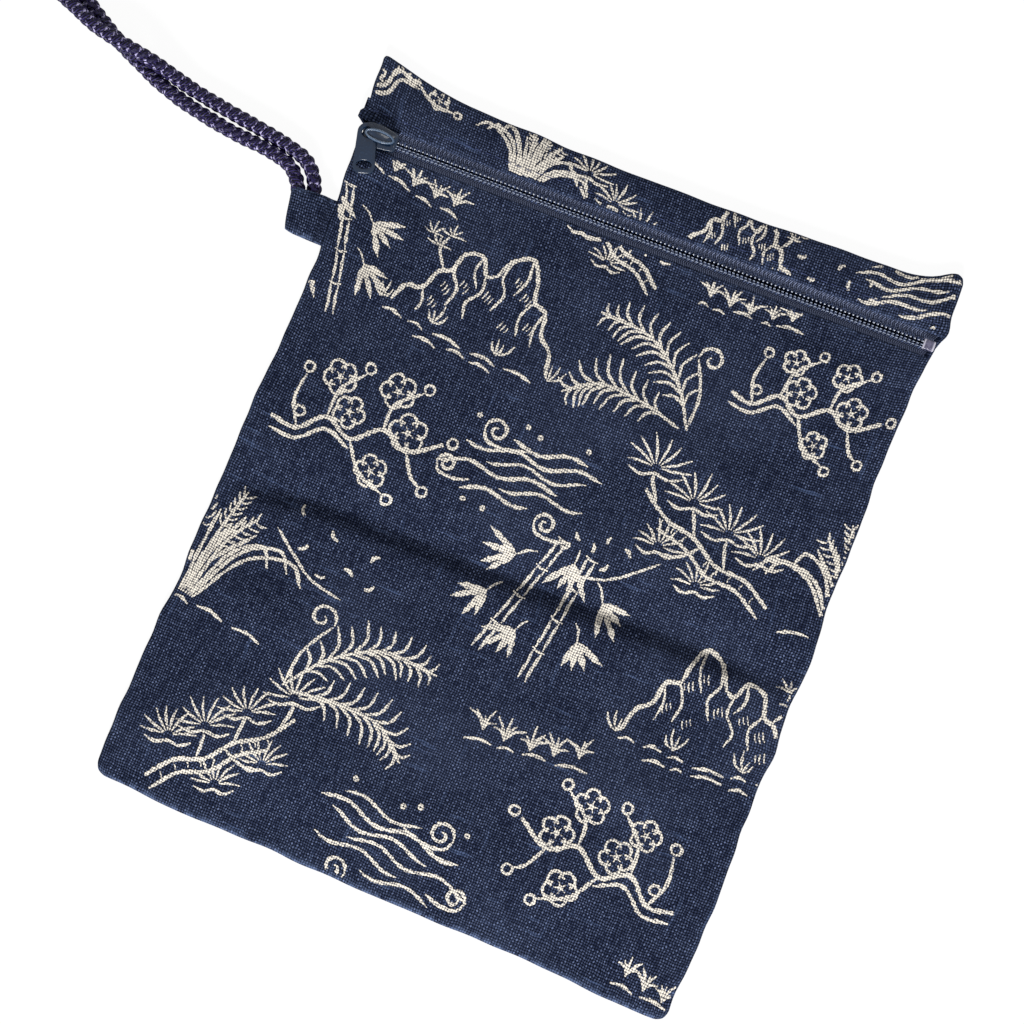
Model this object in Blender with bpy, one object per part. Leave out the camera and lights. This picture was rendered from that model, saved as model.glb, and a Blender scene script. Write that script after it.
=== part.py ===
"""A flat cotton zip pouch that lies on its back, front up.

X runs along the zip, Y towards the top edge and Z up from the surface that the pouch lies on. Sizes are in
metres. The plan coordinates have their origin in the middle of the flat cloth. An empty, pouch_frame, moves
everything so that the world's origin is the middle of the underside of the object without its cord.
"""

import math

import bmesh
import bpy
import numpy as np
from mathutils import Matrix, Vector

# The cloth: one cut, folded at the bottom and the top, sewn at both sides and turned.
POUCH_WIDTH = 0.177
POUCH_HEIGHT = 0.222
CLOTH = 0.0006
SEAM_THICK = 0.0028  # two walls and their turned allowances
SEAM_WALL = 0.0015  # from the outer edge to the hollow inside
CORNER_RADIUS = 0.004
PILLOW_TOP = 0.0046  # highest point of the front
PILLOW_RAMP = 0.024  # from the seam to that height
MIN_GAP = 0.0003

# How the pouch lies: each corner's shift from the plain rectangle, and how far each edge bows.
TOP_LEFT_SHIFT = (0.0010, 0.0035)
TOP_RIGHT_SHIFT = (0.0031, 0.0008)
BOTTOM_RIGHT_SHIFT = (-0.0015, -0.0060)
BOTTOM_LEFT_SHIFT = (-0.0045, 0.0025)
LEFT_BOW = 0.0039
RIGHT_BOW = 0.0020
ZIP_END_BULGE = 0.0016
ZIP_END_ABOVE = 0.0035
ZIP_END_SPREAD = 0.0065
ZIP_END_POWER = 10
TOP_DIP = 0.0058
BOTTOM_BOW = 0.0007
SIDE_BOW_POWER = 1.7  # puts the deepest point of a side's bow at two thirds of the height
TOP_DIP_POWER = 4  # keeps the top edge straight between its corners

# The soft fold across the front.
CREASE_FROM_TOP = 0.128
CREASE_DEPTH = 0.0017
CREASE_HALF_WIDTH = 0.0055
CREASE_LIP = 0.0003
CREASE_LIP_OFFSET = 0.013

# The band above the zip, and the window that the zip shows through.
BAND_DEPTH = 0.0203  # from the top edge to the middle of the zip
WINDOW_HALF = 0.0040
WINDOW_LEFT_WALL = 0.0008
WINDOW_RIGHT_WALL = 0.0008
HEM_TURN = 0.0070  # how far the raw edge is turned under
HEM_SLIT = 0.00015
ZIP_SEAM_EXTRA = 0.0013  # the side seams are thicker where they catch the zip
ZIP_SEAM_SPREAD = 0.009

# The zip: a nylon coil of gauge 3 on two woven tapes.
TAPE_WIDTH = 0.0108
TAPE_THICK = 0.0005
TAPE_INNER = 0.0012  # from the zip's middle line to the tape's edge
TAPE_OVER_BACK = 0.00145
TAPE_PLAY = 0.0002
COIL_PITCH = 0.00125
COIL_WIDTH = 0.0016
COIL_HEIGHT = 0.0014
COIL_VALLEY = 0.00045  # how deep the groove between two turns is
COIL_GAP = 0.0003
COIL_LIFT = 0.0002
STOP_LENGTH = 0.0034
STOP_WIDTH = 0.0030
STOP_HEIGHT = 0.0017
STOP_FROM_END = 0.0003

# The slider and its pull.
SLIDER_LENGTH = 0.0105
SLIDER_FRONT_HALF = 0.0035
SLIDER_REAR_HALF = 0.0026
SLIDER_PLATE = 0.0008
SLIDER_FLANGE = 0.0005
SLIDER_PLAY = 0.00025
SLIDER_END_PLAY = 0.00030
POST_HALF = 0.0008
POST_LENGTH = 0.0036
BRIDGE_LENGTH = 0.0086
BRIDGE_WIDTH = 0.0033
BRIDGE_THICK = 0.0008
BRIDGE_CORNER = 0.0010
PULL_LENGTH = 0.0147
PULL_TOP_HALF = 0.00275
PULL_END_HALF = 0.0032
PULL_THICK = 0.0010
PULL_EYE_RADIUS = 0.00145
PULL_HOLE_HALF = (0.0022, 0.0012)
PULL_HOLE_FROM_END = 0.0026
PULL_TURN = math.radians(15)  # the pull lies across the zip, its end a little to the right

# The cord tab in the left side seam.
TAB_HEIGHT = 0.0124
TAB_FROM_TOP = 0.0482  # from the top edge to the tab's middle
TAB_REACH = 0.0130  # how far the tab sticks out past the edge
TAB_CLOTH = 0.0005
TAB_TAIL = 0.0045
TAB_SLACK = 0.0002

# The wrist cord.
CORD_DIAMETER = 0.0040
CORD_POINTS = 60
CORD_IN_TAB_Z = 0.0027


class Finish:
    """A plain surface: linear colour, roughness and metallic value."""

    def __init__(self, colour, roughness, metallic=0.0):
        self.colour = colour
        self.roughness = roughness
        self.metallic = metallic

    def material(self, name):
        made = bpy.data.materials.new(name)
        made.use_nodes = True
        made.diffuse_color = (*self.colour, 1.0)
        surface = made.node_tree.nodes["Principled BSDF"]
        surface.inputs["Base Color"].default_value = (*self.colour, 1.0)
        surface.inputs["Roughness"].default_value = self.roughness
        surface.inputs["Metallic"].default_value = self.metallic
        return made


NAVY_COTTON = Finish((0.016, 0.026, 0.075), 0.92)
NAVY_TAPE = Finish((0.012, 0.022, 0.060), 0.80)
NAVY_NYLON = Finish((0.008, 0.013, 0.032), 0.40)
NAVY_PAINT = Finish((0.030, 0.055, 0.095), 0.35, 0.3)
CLEAR_NYLON = Finish((0.55, 0.57, 0.66), 0.25)
PURPLE_BRAID = Finish((0.020, 0.014, 0.060), 0.60)

ZIP_Y = POUCH_HEIGHT / 2 - BAND_DEPTH
CREASE_Y = POUCH_HEIGHT / 2 - CREASE_FROM_TOP
TAPE_BOTTOM = CLOTH + TAPE_OVER_BACK
TAPE_TOP = TAPE_BOTTOM + TAPE_THICK
HEM_BOTTOM = TAPE_TOP + TAPE_PLAY
HEM_TOP = HEM_BOTTOM + 2 * CLOTH + HEM_SLIT
COIL_BOTTOM = TAPE_TOP + COIL_LIFT
COIL_TOP = COIL_BOTTOM + COIL_HEIGHT
COIL_INNER = COIL_GAP / 2
COIL_OUTER = COIL_INNER + COIL_WIDTH
COIL_PARTING = POST_HALF + MIN_GAP - COIL_INNER
PLATE_BOTTOM = COIL_TOP + SLIDER_PLAY
PLATE_TOP = PLATE_BOTTOM + SLIDER_PLATE
LOWER_PLATE_TOP = TAPE_BOTTOM - SLIDER_PLAY
PULL_BOTTOM = PLATE_TOP + SLIDER_PLAY
BRIDGE_BOTTOM = PULL_BOTTOM + PULL_THICK + SLIDER_PLAY
BRIDGE_TOP = BRIDGE_BOTTOM + BRIDGE_THICK


def smooth(t):
    """A ramp from 0 to 1 with level ends."""
    t = min(max(t, 0.0), 1.0)
    return t * t * (3 - 2 * t)


def bell(distance, width):
    """1 in the middle, falling to nothing over a few widths."""
    return math.exp(-((distance / width) ** 2))


def rounded(s, t):
    """Flat-cloth coordinates with the corner at hand drawn in to a round."""
    a = min(s, POUCH_WIDTH - s)
    b = min(t, POUCH_HEIGHT - t)
    if a >= CORNER_RADIUS or b >= CORNER_RADIUS:
        return s, t
    p = 1 - a / CORNER_RADIUS
    q = 1 - b / CORNER_RADIUS
    in_x = CORNER_RADIUS * (1 - p * math.sqrt(1 - q * q / 2))
    in_y = CORNER_RADIUS * (1 - q * math.sqrt(1 - p * p / 2))
    s = in_x if s < POUCH_WIDTH / 2 else POUCH_WIDTH - in_x
    t = in_y if t < POUCH_HEIGHT / 2 else POUCH_HEIGHT - in_y
    return s, t


def plan_point(s, t):
    """Where a point of the flat cloth lies in plan, s from the left edge and t from the bottom edge."""
    s, t = rounded(s, t)
    u, v = s / POUCH_WIDTH, t / POUCH_HEIGHT
    x, y = s - POUCH_WIDTH / 2, t - POUCH_HEIGHT / 2
    corners = (
        (BOTTOM_LEFT_SHIFT, (1 - u) * (1 - v)),
        (BOTTOM_RIGHT_SHIFT, u * (1 - v)),
        (TOP_LEFT_SHIFT, (1 - u) * v),
        (TOP_RIGHT_SHIFT, u * v),
    )
    for (shift_x, shift_y), share in corners:
        x += shift_x * share
        y += shift_y * share
    side = math.sin(math.pi * v**SIDE_BOW_POWER)
    x += side * (LEFT_BOW * (1 - u) - RIGHT_BOW * u)
    y -= v * v * TOP_DIP * (1 - abs(2 * u - 1) ** TOP_DIP_POWER)
    y -= (1 - v) * BOTTOM_BOW * math.sin(math.pi * u)
    x += ZIP_END_BULGE * u**ZIP_END_POWER * bell(y - ZIP_Y - ZIP_END_ABOVE, ZIP_END_SPREAD)
    return x, y


def edge_x(y, right=False):
    """Where the left or right edge of the pouch lies at a height y."""
    low, high = 0.0, POUCH_HEIGHT
    s = POUCH_WIDTH if right else 0.0
    for _ in range(40):
        middle = (low + high) / 2
        if plan_point(s, middle)[1] < y:
            low = middle
        else:
            high = middle
    return plan_point(s, (low + high) / 2)[0]


def seam_thick(y):
    """Thickness of a side seam, which grows where it catches the zip."""
    return SEAM_THICK + ZIP_SEAM_EXTRA * bell(y - ZIP_Y, ZIP_SEAM_SPREAD)


def front_height(y, inward):
    """Height of the front's outer face, inward being the distance from the pouch's edge."""
    thick = seam_thick(y)
    radius = thick / 2
    if inward < radius:
        return radius + math.sqrt(max(radius**2 - (radius - inward) ** 2, 0.0))
    ramp = smooth((inward - radius) / PILLOW_RAMP)
    height = thick + (PILLOW_TOP - thick) * ramp
    from_crease = y - CREASE_Y
    height -= ramp * CREASE_DEPTH * bell(from_crease, CREASE_HALF_WIDTH)
    height += ramp * CREASE_LIP * bell(from_crease - CREASE_LIP_OFFSET, CREASE_HALF_WIDTH)
    flat_half = WINDOW_HALF + HEM_TURN / 2
    near_zip = bell(max(abs(y - ZIP_Y) - flat_half, 0.0), HEM_TURN)
    level = max(HEM_TOP, thick)
    return height + (level - height) * near_zip


def underside(y, inward):
    """Height of the back's outer face, which rounds up to the seam."""
    radius = seam_thick(y) / 2
    if inward >= radius:
        return 0.0
    return radius - math.sqrt(max(radius**2 - (radius - inward) ** 2, 0.0))


def stations(length, first, spacing, rings, extra=()):
    """Distances along one side of the cloth: rings near both ends, even steps between, and extra lines."""
    inner = [r for r in rings if r >= first]
    reach = inner[-1]
    count = max(round((length - 2 * reach) / spacing), 1)
    middle = list(np.linspace(reach, length - reach, count + 1))
    middle = [m for m in middle if all(abs(m - e) > spacing * 0.3 for e in extra)]
    ends = inner + [length - r for r in inner]
    return sorted({round(float(v), 7) for v in [*ends, *middle, *extra]})


def link(bm, name, finish, parent=None, location=(0, 0, 0), turn=0.0, helper=False):
    """Makes an object of the mesh, under the pouch's frame or under another piece."""
    bmesh.ops.recalc_face_normals(bm, faces=bm.faces)
    mesh = bpy.data.meshes.new(name)
    bm.to_mesh(mesh)
    bm.free()
    made = bpy.data.objects.new(name, mesh)
    bpy.context.scene.collection.objects.link(made)
    if finish:
        mesh.materials.append(finish.material(name + "_finish"))
    made.parent = parent or pouch_frame
    made.location = location
    made.rotation_euler.z = turn
    if helper:
        made.hide_render = True
        made.display_type = "WIRE"
    return made


def prism(outline, low, high, along="Z"):
    """A bmesh of an outline extruded from low to high: a plan outline along Z, or a YZ section along X."""
    bm = bmesh.new()
    corners = [(x, y, low) if along == "Z" else (low, x, y) for x, y in outline]
    face = bm.faces.new([bm.verts.new(corner) for corner in corners])
    out = bmesh.ops.extrude_face_region(bm, geom=[face])
    rise = Vector((0, 0, high - low)) if along == "Z" else Vector((high - low, 0, 0))
    bmesh.ops.translate(bm, vec=rise, verts=[v for v in out["geom"] if isinstance(v, bmesh.types.BMVert)])
    return bm


def box(x_range, y_range, z_range):
    """A bmesh of a plain box."""
    (x0, x1), (y0, y1) = x_range, y_range
    return prism([(x0, y0), (x1, y0), (x1, y1), (x0, y1)], *z_range)


def strip(path, thickness, y_low, y_high):
    """A bmesh of a band of cloth or metal that follows a path in the XZ plane."""
    points = [Vector(p) for p in path]
    left, right = [], []
    for i, point in enumerate(points):
        before = points[max(i - 1, 0)]
        after = points[min(i + 1, len(points) - 1)]
        along = (after - before).normalized()
        across = Vector((-along.y, along.x))
        bend = 1.0
        if 0 < i < len(points) - 1:
            bend = max(across.dot(Vector((-(after - point).y, (after - point).x)).normalized()), 0.5)
        left.append(point + across * (thickness / 2 / bend))
        right.append(point - across * (thickness / 2 / bend))
    bm = bmesh.new()
    rows = [[bm.verts.new((p.x, y, p.y)) for p in left + right[::-1]] for y in (y_low, y_high)]
    count, half = len(rows[0]), len(points)
    for i in range(count):
        j = (i + 1) % count
        bm.faces.new((rows[0][i], rows[0][j], rows[1][j], rows[1][i]))
    for row in rows:
        for i in range(half - 1):
            bm.faces.new((row[i], row[i + 1], row[count - 2 - i], row[count - 1 - i]))
    return bm


def combine(target, other, operation):
    """Adds a Boolean that cuts or joins a helper object."""
    step = target.modifiers.new(other.name, "BOOLEAN")
    step.operation = operation
    step.object = other


def soften(target, width, segments=2, angle=35):
    """Adds a small rounding to the sharp edges."""
    step = target.modifiers.new("rounding", "BEVEL")
    step.width = width
    step.segments = segments
    step.limit_method = "ANGLE"
    step.angle_limit = math.radians(angle)


def shade_round(target, angle=40):
    """Smooth shading with the sharp edges kept."""
    target.data.shade_smooth()
    target.data.set_sharp_from_angle(angle=math.radians(angle))


def grid_shell(columns, rows, top, bottom, edge_rings):
    """A closed mesh over the cloth: a top grid, and an underside of a few edge rings and one flat face.

    top and bottom give the height at (s, t). edge_rings is how many grid rings the underside follows in.
    """
    bm = bmesh.new()

    def vertex(s, t, height):
        x, y = plan_point(s, t)
        return bm.verts.new((x, y, height(s, t)))

    upper = [[vertex(s, t, top) for s in columns] for t in rows]
    for j in range(len(rows) - 1):
        for i in range(len(columns) - 1):
            bm.faces.new((upper[j][i], upper[j][i + 1], upper[j + 1][i + 1], upper[j + 1][i]))

    def ring(level):
        last_i, last_j = len(columns) - 1 - level, len(rows) - 1 - level
        lower_side = [(level, i) for i in range(level, last_i)]
        right_side = [(j, last_i) for j in range(level, last_j)]
        upper_side = [(last_j, i) for i in range(last_i, level, -1)]
        left_side = [(j, level) for j in range(last_j, level, -1)]
        return lower_side + right_side + upper_side + left_side

    outer = {key: upper[key[0]][key[1]] for key in ring(0)}
    for level in range(edge_rings):
        loop = ring(level)
        inner = {key: vertex(columns[key[1]], rows[key[0]], bottom) for key in ring(level + 1)}

        def inward(key):
            j = min(max(key[0], level + 1), len(rows) - 2 - level)
            i = min(max(key[1], level + 1), len(columns) - 2 - level)
            return inner[(j, i)]

        for a, b in zip(loop, loop[1:] + loop[:1]):
            corners = [outer[b], outer[a], inward(a)]
            if inward(b) is not inward(a):
                corners.append(inward(b))
            bm.faces.new(corners)
        outer = inner
    bm.faces.new([outer[key] for key in reversed(ring(edge_rings))])
    return bm


def inward_of(s, t):
    """Distance of a flat-cloth point from the pouch's nearest edge."""
    return min(s, POUCH_WIDTH - s, t, POUCH_HEIGHT - t)


def outer_top(s, t):
    _, y = plan_point(s, t)
    return front_height(y, inward_of(s, t))


def outer_bottom(s, t):
    return underside(plan_point(s, t)[1], inward_of(s, t))


def hollow_top(s, t):
    """The inside of the front: one cloth under the outer face, and level with the hem beside the zip."""
    _, y = plan_point(s, t)
    height = front_height(y, inward_of(s, t)) - CLOTH
    beside = smooth((abs(y - ZIP_Y) - TAPE_INNER - TAPE_WIDTH) / HEM_TURN)
    low = HEM_BOTTOM - TAPE_PLAY
    return min(low + (height - low) * beside, height)


def hollow_bottom(s, t):
    return CLOTH


def zip_section():
    """The YZ outline of what is cut away along the zip.

    It holds the bay that the tapes lie in, the window above it, and on each side the step at the hem's raw
    edge with the thin slit between the hem's two layers.
    """
    window = WINDOW_HALF
    fold = window + CLOTH
    raw_edge = window + HEM_TURN
    beyond = TAPE_INNER + TAPE_WIDTH + MIN_GAP * 2
    layer_top = HEM_BOTTOM + CLOTH
    half = [
        (window, 2 * PILLOW_TOP),
        (window, HEM_BOTTOM),
        (raw_edge, HEM_BOTTOM),
        (raw_edge, layer_top),
        (fold, layer_top),
        (fold, layer_top + HEM_SLIT),
        (beyond, layer_top + HEM_SLIT),
        (beyond, CLOTH + MIN_GAP / 3),
    ]
    outline = half + [(-y, z) for y, z in reversed(half)]
    return [(ZIP_Y + y, z) for y, z in outline]


def make_outer_cloth():
    """Front, back and band: one folded cloth with closed side seams, open at the zip's window."""
    rings = (0.0, 0.0003, 0.0010, 0.0022, 0.0052, 0.0105)
    crease_t = CREASE_Y + POUCH_HEIGHT / 2
    folds = [crease_t + k * CREASE_HALF_WIDTH * 0.5 for k in (-3, -2, -1, 0, 1, 2, 3)]
    columns = stations(POUCH_WIDTH, 0.0, 0.0112, rings)
    rows = stations(POUCH_HEIGHT, 0.0, 0.0100, rings, folds)
    cloth = link(grid_shell(columns, rows, outer_top, outer_bottom, 3), "outer_cloth", NAVY_COTTON)

    inner_rings = (SEAM_WALL, 0.0052, 0.0105)
    columns = stations(POUCH_WIDTH, SEAM_WALL, 0.0180, inner_rings)
    rows = stations(POUCH_HEIGHT, SEAM_WALL, 0.0150, inner_rings, folds[::2])
    hollow = link(grid_shell(columns, rows, hollow_top, hollow_bottom, 1), "hollow", None, helper=True)
    combine(cloth, hollow, "DIFFERENCE")

    left = edge_x(ZIP_Y) + WINDOW_LEFT_WALL
    right = edge_x(ZIP_Y, right=True) - WINDOW_RIGHT_WALL
    cut = prism(zip_section(), left, right, along="X")
    combine(cloth, link(cut, "zip_cut", None, helper=True), "DIFFERENCE")

    low, high = tab_span()
    tail_low, tail_high = tab_tail_heights()
    edge = edge_x(TAB_Y)
    pocket = box(
        (edge - TAB_REACH / 2, edge + TAB_TAIL + MIN_GAP),
        (low - MIN_GAP, high + MIN_GAP),
        (tail_low - MIN_GAP, tail_high + MIN_GAP),
    )
    combine(cloth, link(pocket, "tab_pocket", None, helper=True), "DIFFERENCE")
    shade_round(cloth)
    return left, right


def make_tapes(left, right):
    """Two woven tapes under the hems, their inner edges beneath the coil."""
    for word, side in (("upper", 1), ("lower", -1)):
        inner = ZIP_Y + side * TAPE_INNER
        outer = ZIP_Y + side * (TAPE_INNER + TAPE_WIDTH)
        bm = box((left + MIN_GAP, right - MIN_GAP), sorted((inner, outer)), (TAPE_BOTTOM, TAPE_TOP))
        tape = link(bm, f"zip_tape_{word}", NAVY_TAPE)
        soften(tape, TAPE_THICK * 0.25, 1)


def coil_part(x, slider_x):
    """How far the coil has moved out sideways to pass the slider's post."""
    start = slider_x - SLIDER_LENGTH * 0.02
    return COIL_PARTING * smooth((start - x) / (SLIDER_LENGTH * 0.19))


def make_coil(word, side, left, right, slider_x):
    """One side's coil as a ridged bar, a ridge for each turn."""
    bm = bmesh.new()
    turns = int((right - left) / COIL_PITCH)
    offset = 0.5 * COIL_PITCH if side > 0 else 0.0
    stops = [left + offset + k * COIL_PITCH / 2 for k in range(2 * turns - 1)]
    last = None
    for k, x in enumerate(stops):
        dip = COIL_VALLEY if k % 2 else 0.0
        shift = coil_part(x, slider_x)
        inner = ZIP_Y + side * (COIL_INNER + shift)
        outer = ZIP_Y + side * (COIL_OUTER + shift - dip)
        corners = (
            (inner, COIL_BOTTOM),
            (outer, COIL_BOTTOM),
            (outer - side * dip, COIL_TOP - dip),
            (inner, COIL_TOP - dip),
        )
        ring = [bm.verts.new((x, y, z)) for y, z in corners]
        if last is None:
            bm.faces.new(ring)
        else:
            for i in range(4):
                j = (i + 1) % 4
                bm.faces.new((last[i], last[j], ring[j], ring[i]))
        last = ring
    bm.faces.new(last)
    link(bm, f"zip_coil_{word}", NAVY_NYLON)


def slider_outline(inset=0.0):
    """The slider's plan from above: a wide front where the coils part, a narrower rear."""
    half = SLIDER_LENGTH / 2
    upper = [
        (-half + inset, SLIDER_FRONT_HALF * 0.62),
        (-half * 0.84, SLIDER_FRONT_HALF * 0.92),
        (-half * 0.55, SLIDER_FRONT_HALF),
        (-half * 0.10, SLIDER_FRONT_HALF),
        (half * 0.45, (SLIDER_FRONT_HALF + SLIDER_REAR_HALF) / 2),
        (half * 0.90, SLIDER_REAR_HALF),
        (half - inset, SLIDER_REAR_HALF * 0.88),
    ]
    upper = [(x, y - inset) for x, y in upper]
    return upper + [(x, -y) for x, y in reversed(upper)]


def flange_outline(side):
    """The side wall that holds a coil in its channel, in plan."""
    outer = [(x, y) for x, y in slider_outline() if y > 0][2:-1]
    inner = [(x, y - SLIDER_FLANGE) for x, y in reversed(outer)]
    return [(x, side * y) for x, y in outer + inner]


def bridge_path():
    """The bridge's middle line in the XZ plane: up from one foot, over, and down to the other."""
    foot = BRIDGE_LENGTH / 2 - BRIDGE_THICK / 2
    top = BRIDGE_TOP - BRIDGE_THICK / 2
    arc = []
    for k in range(5):
        angle = math.pi / 2 * k / 4
        across = foot - BRIDGE_CORNER + BRIDGE_CORNER * math.cos(angle)
        arc.append((across, top - BRIDGE_CORNER + BRIDGE_CORNER * math.sin(angle)))
    right = [(foot, PLATE_TOP - SLIDER_PLATE / 2), *arc]
    return [(-x, z) for x, z in right] + [(x, z) for x, z in reversed(right)]


def ellipse(half_x, half_y, count, centre=(0.0, 0.0)):
    """Points round an ellipse."""
    turn = [2 * math.pi * k / count for k in range(count)]
    return [(centre[0] + half_x * math.cos(a), centre[1] + half_y * math.sin(a)) for a in turn]


def make_slider(slider_x):
    """Two plates, the post that parts the coils, two flanges and the bridge, cast in one."""
    at = (slider_x, ZIP_Y, 0)
    body = link(prism(slider_outline(), PLATE_BOTTOM, PLATE_TOP), "slider_body", NAVY_PAINT, location=at)
    soften(body, SLIDER_PLATE * 0.35, 2, 60)

    def join(bm, name):
        combine(body, link(bm, name, None, location=at, helper=True), "UNION")

    lower_bottom = LOWER_PLATE_TOP - SLIDER_PLATE
    join(prism(slider_outline(0.0002), lower_bottom, LOWER_PLATE_TOP), "slider_lower_plate")
    half = SLIDER_LENGTH / 2
    front = -half * 0.93
    post = [
        (front, 0),
        (front + POST_HALF, -POST_HALF),
        (front + POST_LENGTH * 0.6, -POST_HALF),
        (front + POST_LENGTH, 0),
        (front + POST_LENGTH * 0.6, POST_HALF),
        (front + POST_HALF, POST_HALF),
    ]
    overlap = SLIDER_PLATE / 3
    join(prism(post, LOWER_PLATE_TOP - overlap, PLATE_BOTTOM + overlap), "slider_post")
    for side in (-1, 1):
        low = TAPE_TOP + MIN_GAP
        join(prism(flange_outline(side), low, PLATE_BOTTOM + overlap), f"slider_flange_{side}")
    wide = BRIDGE_WIDTH
    arch = strip(bridge_path(), BRIDGE_THICK, -wide, wide)
    arch = link(arch, "slider_bridge", None, location=at, helper=True)
    oval = prism(ellipse(BRIDGE_LENGTH / 2 * 1.06, wide / 2, 28), 0, 2 * BRIDGE_TOP)
    combine(arch, link(oval, "bridge_oval", None, location=at, helper=True), "INTERSECT")
    combine(body, arch, "UNION")
    shade_round(body)
    return body


def pull_outline():
    """The pull seen from above, from its pivot at the origin down along -Y."""
    end = PULL_TOP_HALF - PULL_LENGTH
    corner = PULL_END_HALF * 0.62
    side = []
    for k in range(7):
        angle = math.pi / 2 * (1 - k / 6)
        side.append((PULL_TOP_HALF * math.cos(angle), PULL_TOP_HALF * math.sin(angle)))
    for k in range(6):
        angle = -math.pi / 2 * k / 5
        out, down = corner * math.cos(angle), corner * math.sin(angle)
        side.append((PULL_END_HALF - corner + out, end + corner + down))
    return side + [(-x, y) for x, y in reversed(side) if x > 1e-9]


def make_pull(slider):
    """A flat plate with a round eye on the bridge's front foot and an oval hole at its free end."""
    pivot = (-(BRIDGE_LENGTH - BRIDGE_THICK) / 2, 0, 0)
    top = PULL_BOTTOM + PULL_THICK
    pull = link(prism(pull_outline(), PULL_BOTTOM, top), "pull_tab", NAVY_PAINT, slider, pivot, PULL_TURN)
    reach = (PULL_BOTTOM - PULL_THICK, top + PULL_THICK)
    hole_y = PULL_TOP_HALF - PULL_LENGTH + PULL_HOLE_FROM_END
    cuts = (
        ("pull_eye_cut", ellipse(PULL_EYE_RADIUS, PULL_EYE_RADIUS, 20)),
        ("pull_hole_cut", ellipse(*PULL_HOLE_HALF, 20, (0, hole_y))),
    )
    for name, outline in cuts:
        combine(pull, link(prism(outline, *reach), name, None, slider, pivot, PULL_TURN, True), "DIFFERENCE")
    soften(pull, PULL_THICK * 0.22, 2, 60)
    shade_round(pull)


def make_stop(right):
    """The clear block at the end of the coil, on both tapes."""
    middle = right - STOP_FROM_END - STOP_LENGTH / 2
    span = (middle - STOP_LENGTH / 2, middle + STOP_LENGTH / 2)
    high = COIL_BOTTOM + STOP_HEIGHT
    bm = box(span, (ZIP_Y - STOP_WIDTH / 2, ZIP_Y + STOP_WIDTH / 2), (COIL_BOTTOM, high))
    stop = link(bm, "bottom_stop", CLEAR_NYLON)
    soften(stop, STOP_HEIGHT * 0.2, 3)
    shade_round(stop)
    return span[0]


def tab_span():
    """The tab's lower and upper end along Y."""
    return TAB_Y - TAB_HEIGHT / 2, TAB_Y + TAB_HEIGHT / 2


def tab_tail_heights():
    """The lowest and highest point of the tab's two layers inside the side seam."""
    middle = SEAM_THICK / 2
    return middle - TAB_CLOTH - TAB_SLACK / 2, middle + TAB_CLOTH + TAB_SLACK / 2


def tab_path():
    """The strip's middle line in the XZ plane: out of the seam, round the cord's two ends, and back."""
    edge = edge_x(TAB_Y)
    half = TAB_CLOTH / 2
    tail_low, tail_high = tab_tail_heights()
    tail = edge + TAB_TAIL
    top = CORD_IN_TAB_Z + CORD_DIAMETER / 2 + TAB_SLACK + half
    bottom = half
    radius = (top - bottom) / 2
    centre_x = edge - TAB_REACH + half + radius
    mouth = edge - MIN_GAP * 2
    foot = mouth - TAB_REACH * 0.24

    def slope(from_z, to_z):
        span = [smooth(k / 6) for k in range(7)]
        return [(mouth + (foot - mouth) * k / 6, from_z + (to_z - from_z) * s) for k, s in enumerate(span)]

    lower = [(tail, tail_low + half), *slope(tail_low + half, bottom)]
    bend = [math.pi * k / 10 for k in range(11)]
    bend = [(centre_x - radius * math.sin(a), (top + bottom) / 2 - radius * math.cos(a)) for a in bend]
    upper = [*reversed(slope(tail_high - half, top)), (tail, tail_high - half)]
    return lower + bend + upper


def make_tab():
    """A folded strip of the pouch's cloth, caught in the left side seam."""
    low, high = tab_span()
    tab = link(strip(tab_path(), TAB_CLOTH, low, high), "cord_tab", NAVY_COTTON)
    shade_round(tab)


def cord_route():
    """The cord's chosen route, from inside the tab, out to the loop's far end and back.

    The two strands lie side by side on the surface, and one crosses the other in a long low hump.
    """
    inside = CORD_IN_TAB_Z
    flat = CORD_DIAMETER / 2
    return [
        (-0.0912, 0.0592, inside),
        (-0.0912, 0.0645, inside),
        (-0.0912, 0.0698, inside),
        (-0.0926, 0.0752, 0.0024),
        (-0.0967, 0.0788, flat),
        (-0.1022, 0.0806, flat),
        (-0.1108, 0.0822, flat),
        (-0.1232, 0.0838, flat),
        (-0.1349, 0.0854, flat),
        (-0.1442, 0.0872, 0.0041),
        (-0.1510, 0.0886, 0.0059),
        (-0.1583, 0.0898, 0.0065),
        (-0.1655, 0.0914, 0.0060),
        (-0.1712, 0.0935, 0.0050),
        (-0.1758, 0.0955, 0.0038),
        (-0.1815, 0.0978, 0.0024),
        (-0.1900, 0.1008, flat),
        (-0.1995, 0.1034, flat),
        (-0.2080, 0.1076, flat),
        (-0.2121, 0.1132, flat),
        (-0.2109, 0.1196, flat),
        (-0.2057, 0.1234, flat),
        (-0.1987, 0.1222, flat),
        (-0.1912, 0.1162, flat),
        (-0.1842, 0.1088, flat),
        (-0.1780, 0.1024, flat),
        (-0.1712, 0.0974, flat),
        (-0.1650, 0.0934, flat),
        (-0.1583, 0.0896, flat),
        (-0.1507, 0.0860, flat),
        (-0.1432, 0.0828, flat),
        (-0.1336, 0.0800, flat),
        (-0.1208, 0.0776, flat),
        (-0.1100, 0.0765, flat),
        (-0.1034, 0.0757, flat),
        (-0.0991, 0.0743, 0.0022),
        (-0.0966, 0.0718, 0.0026),
        (-0.0955, 0.0682, inside),
        (-0.0954, 0.0640, inside),
        (-0.0954, 0.0592, inside),
    ]


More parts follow.
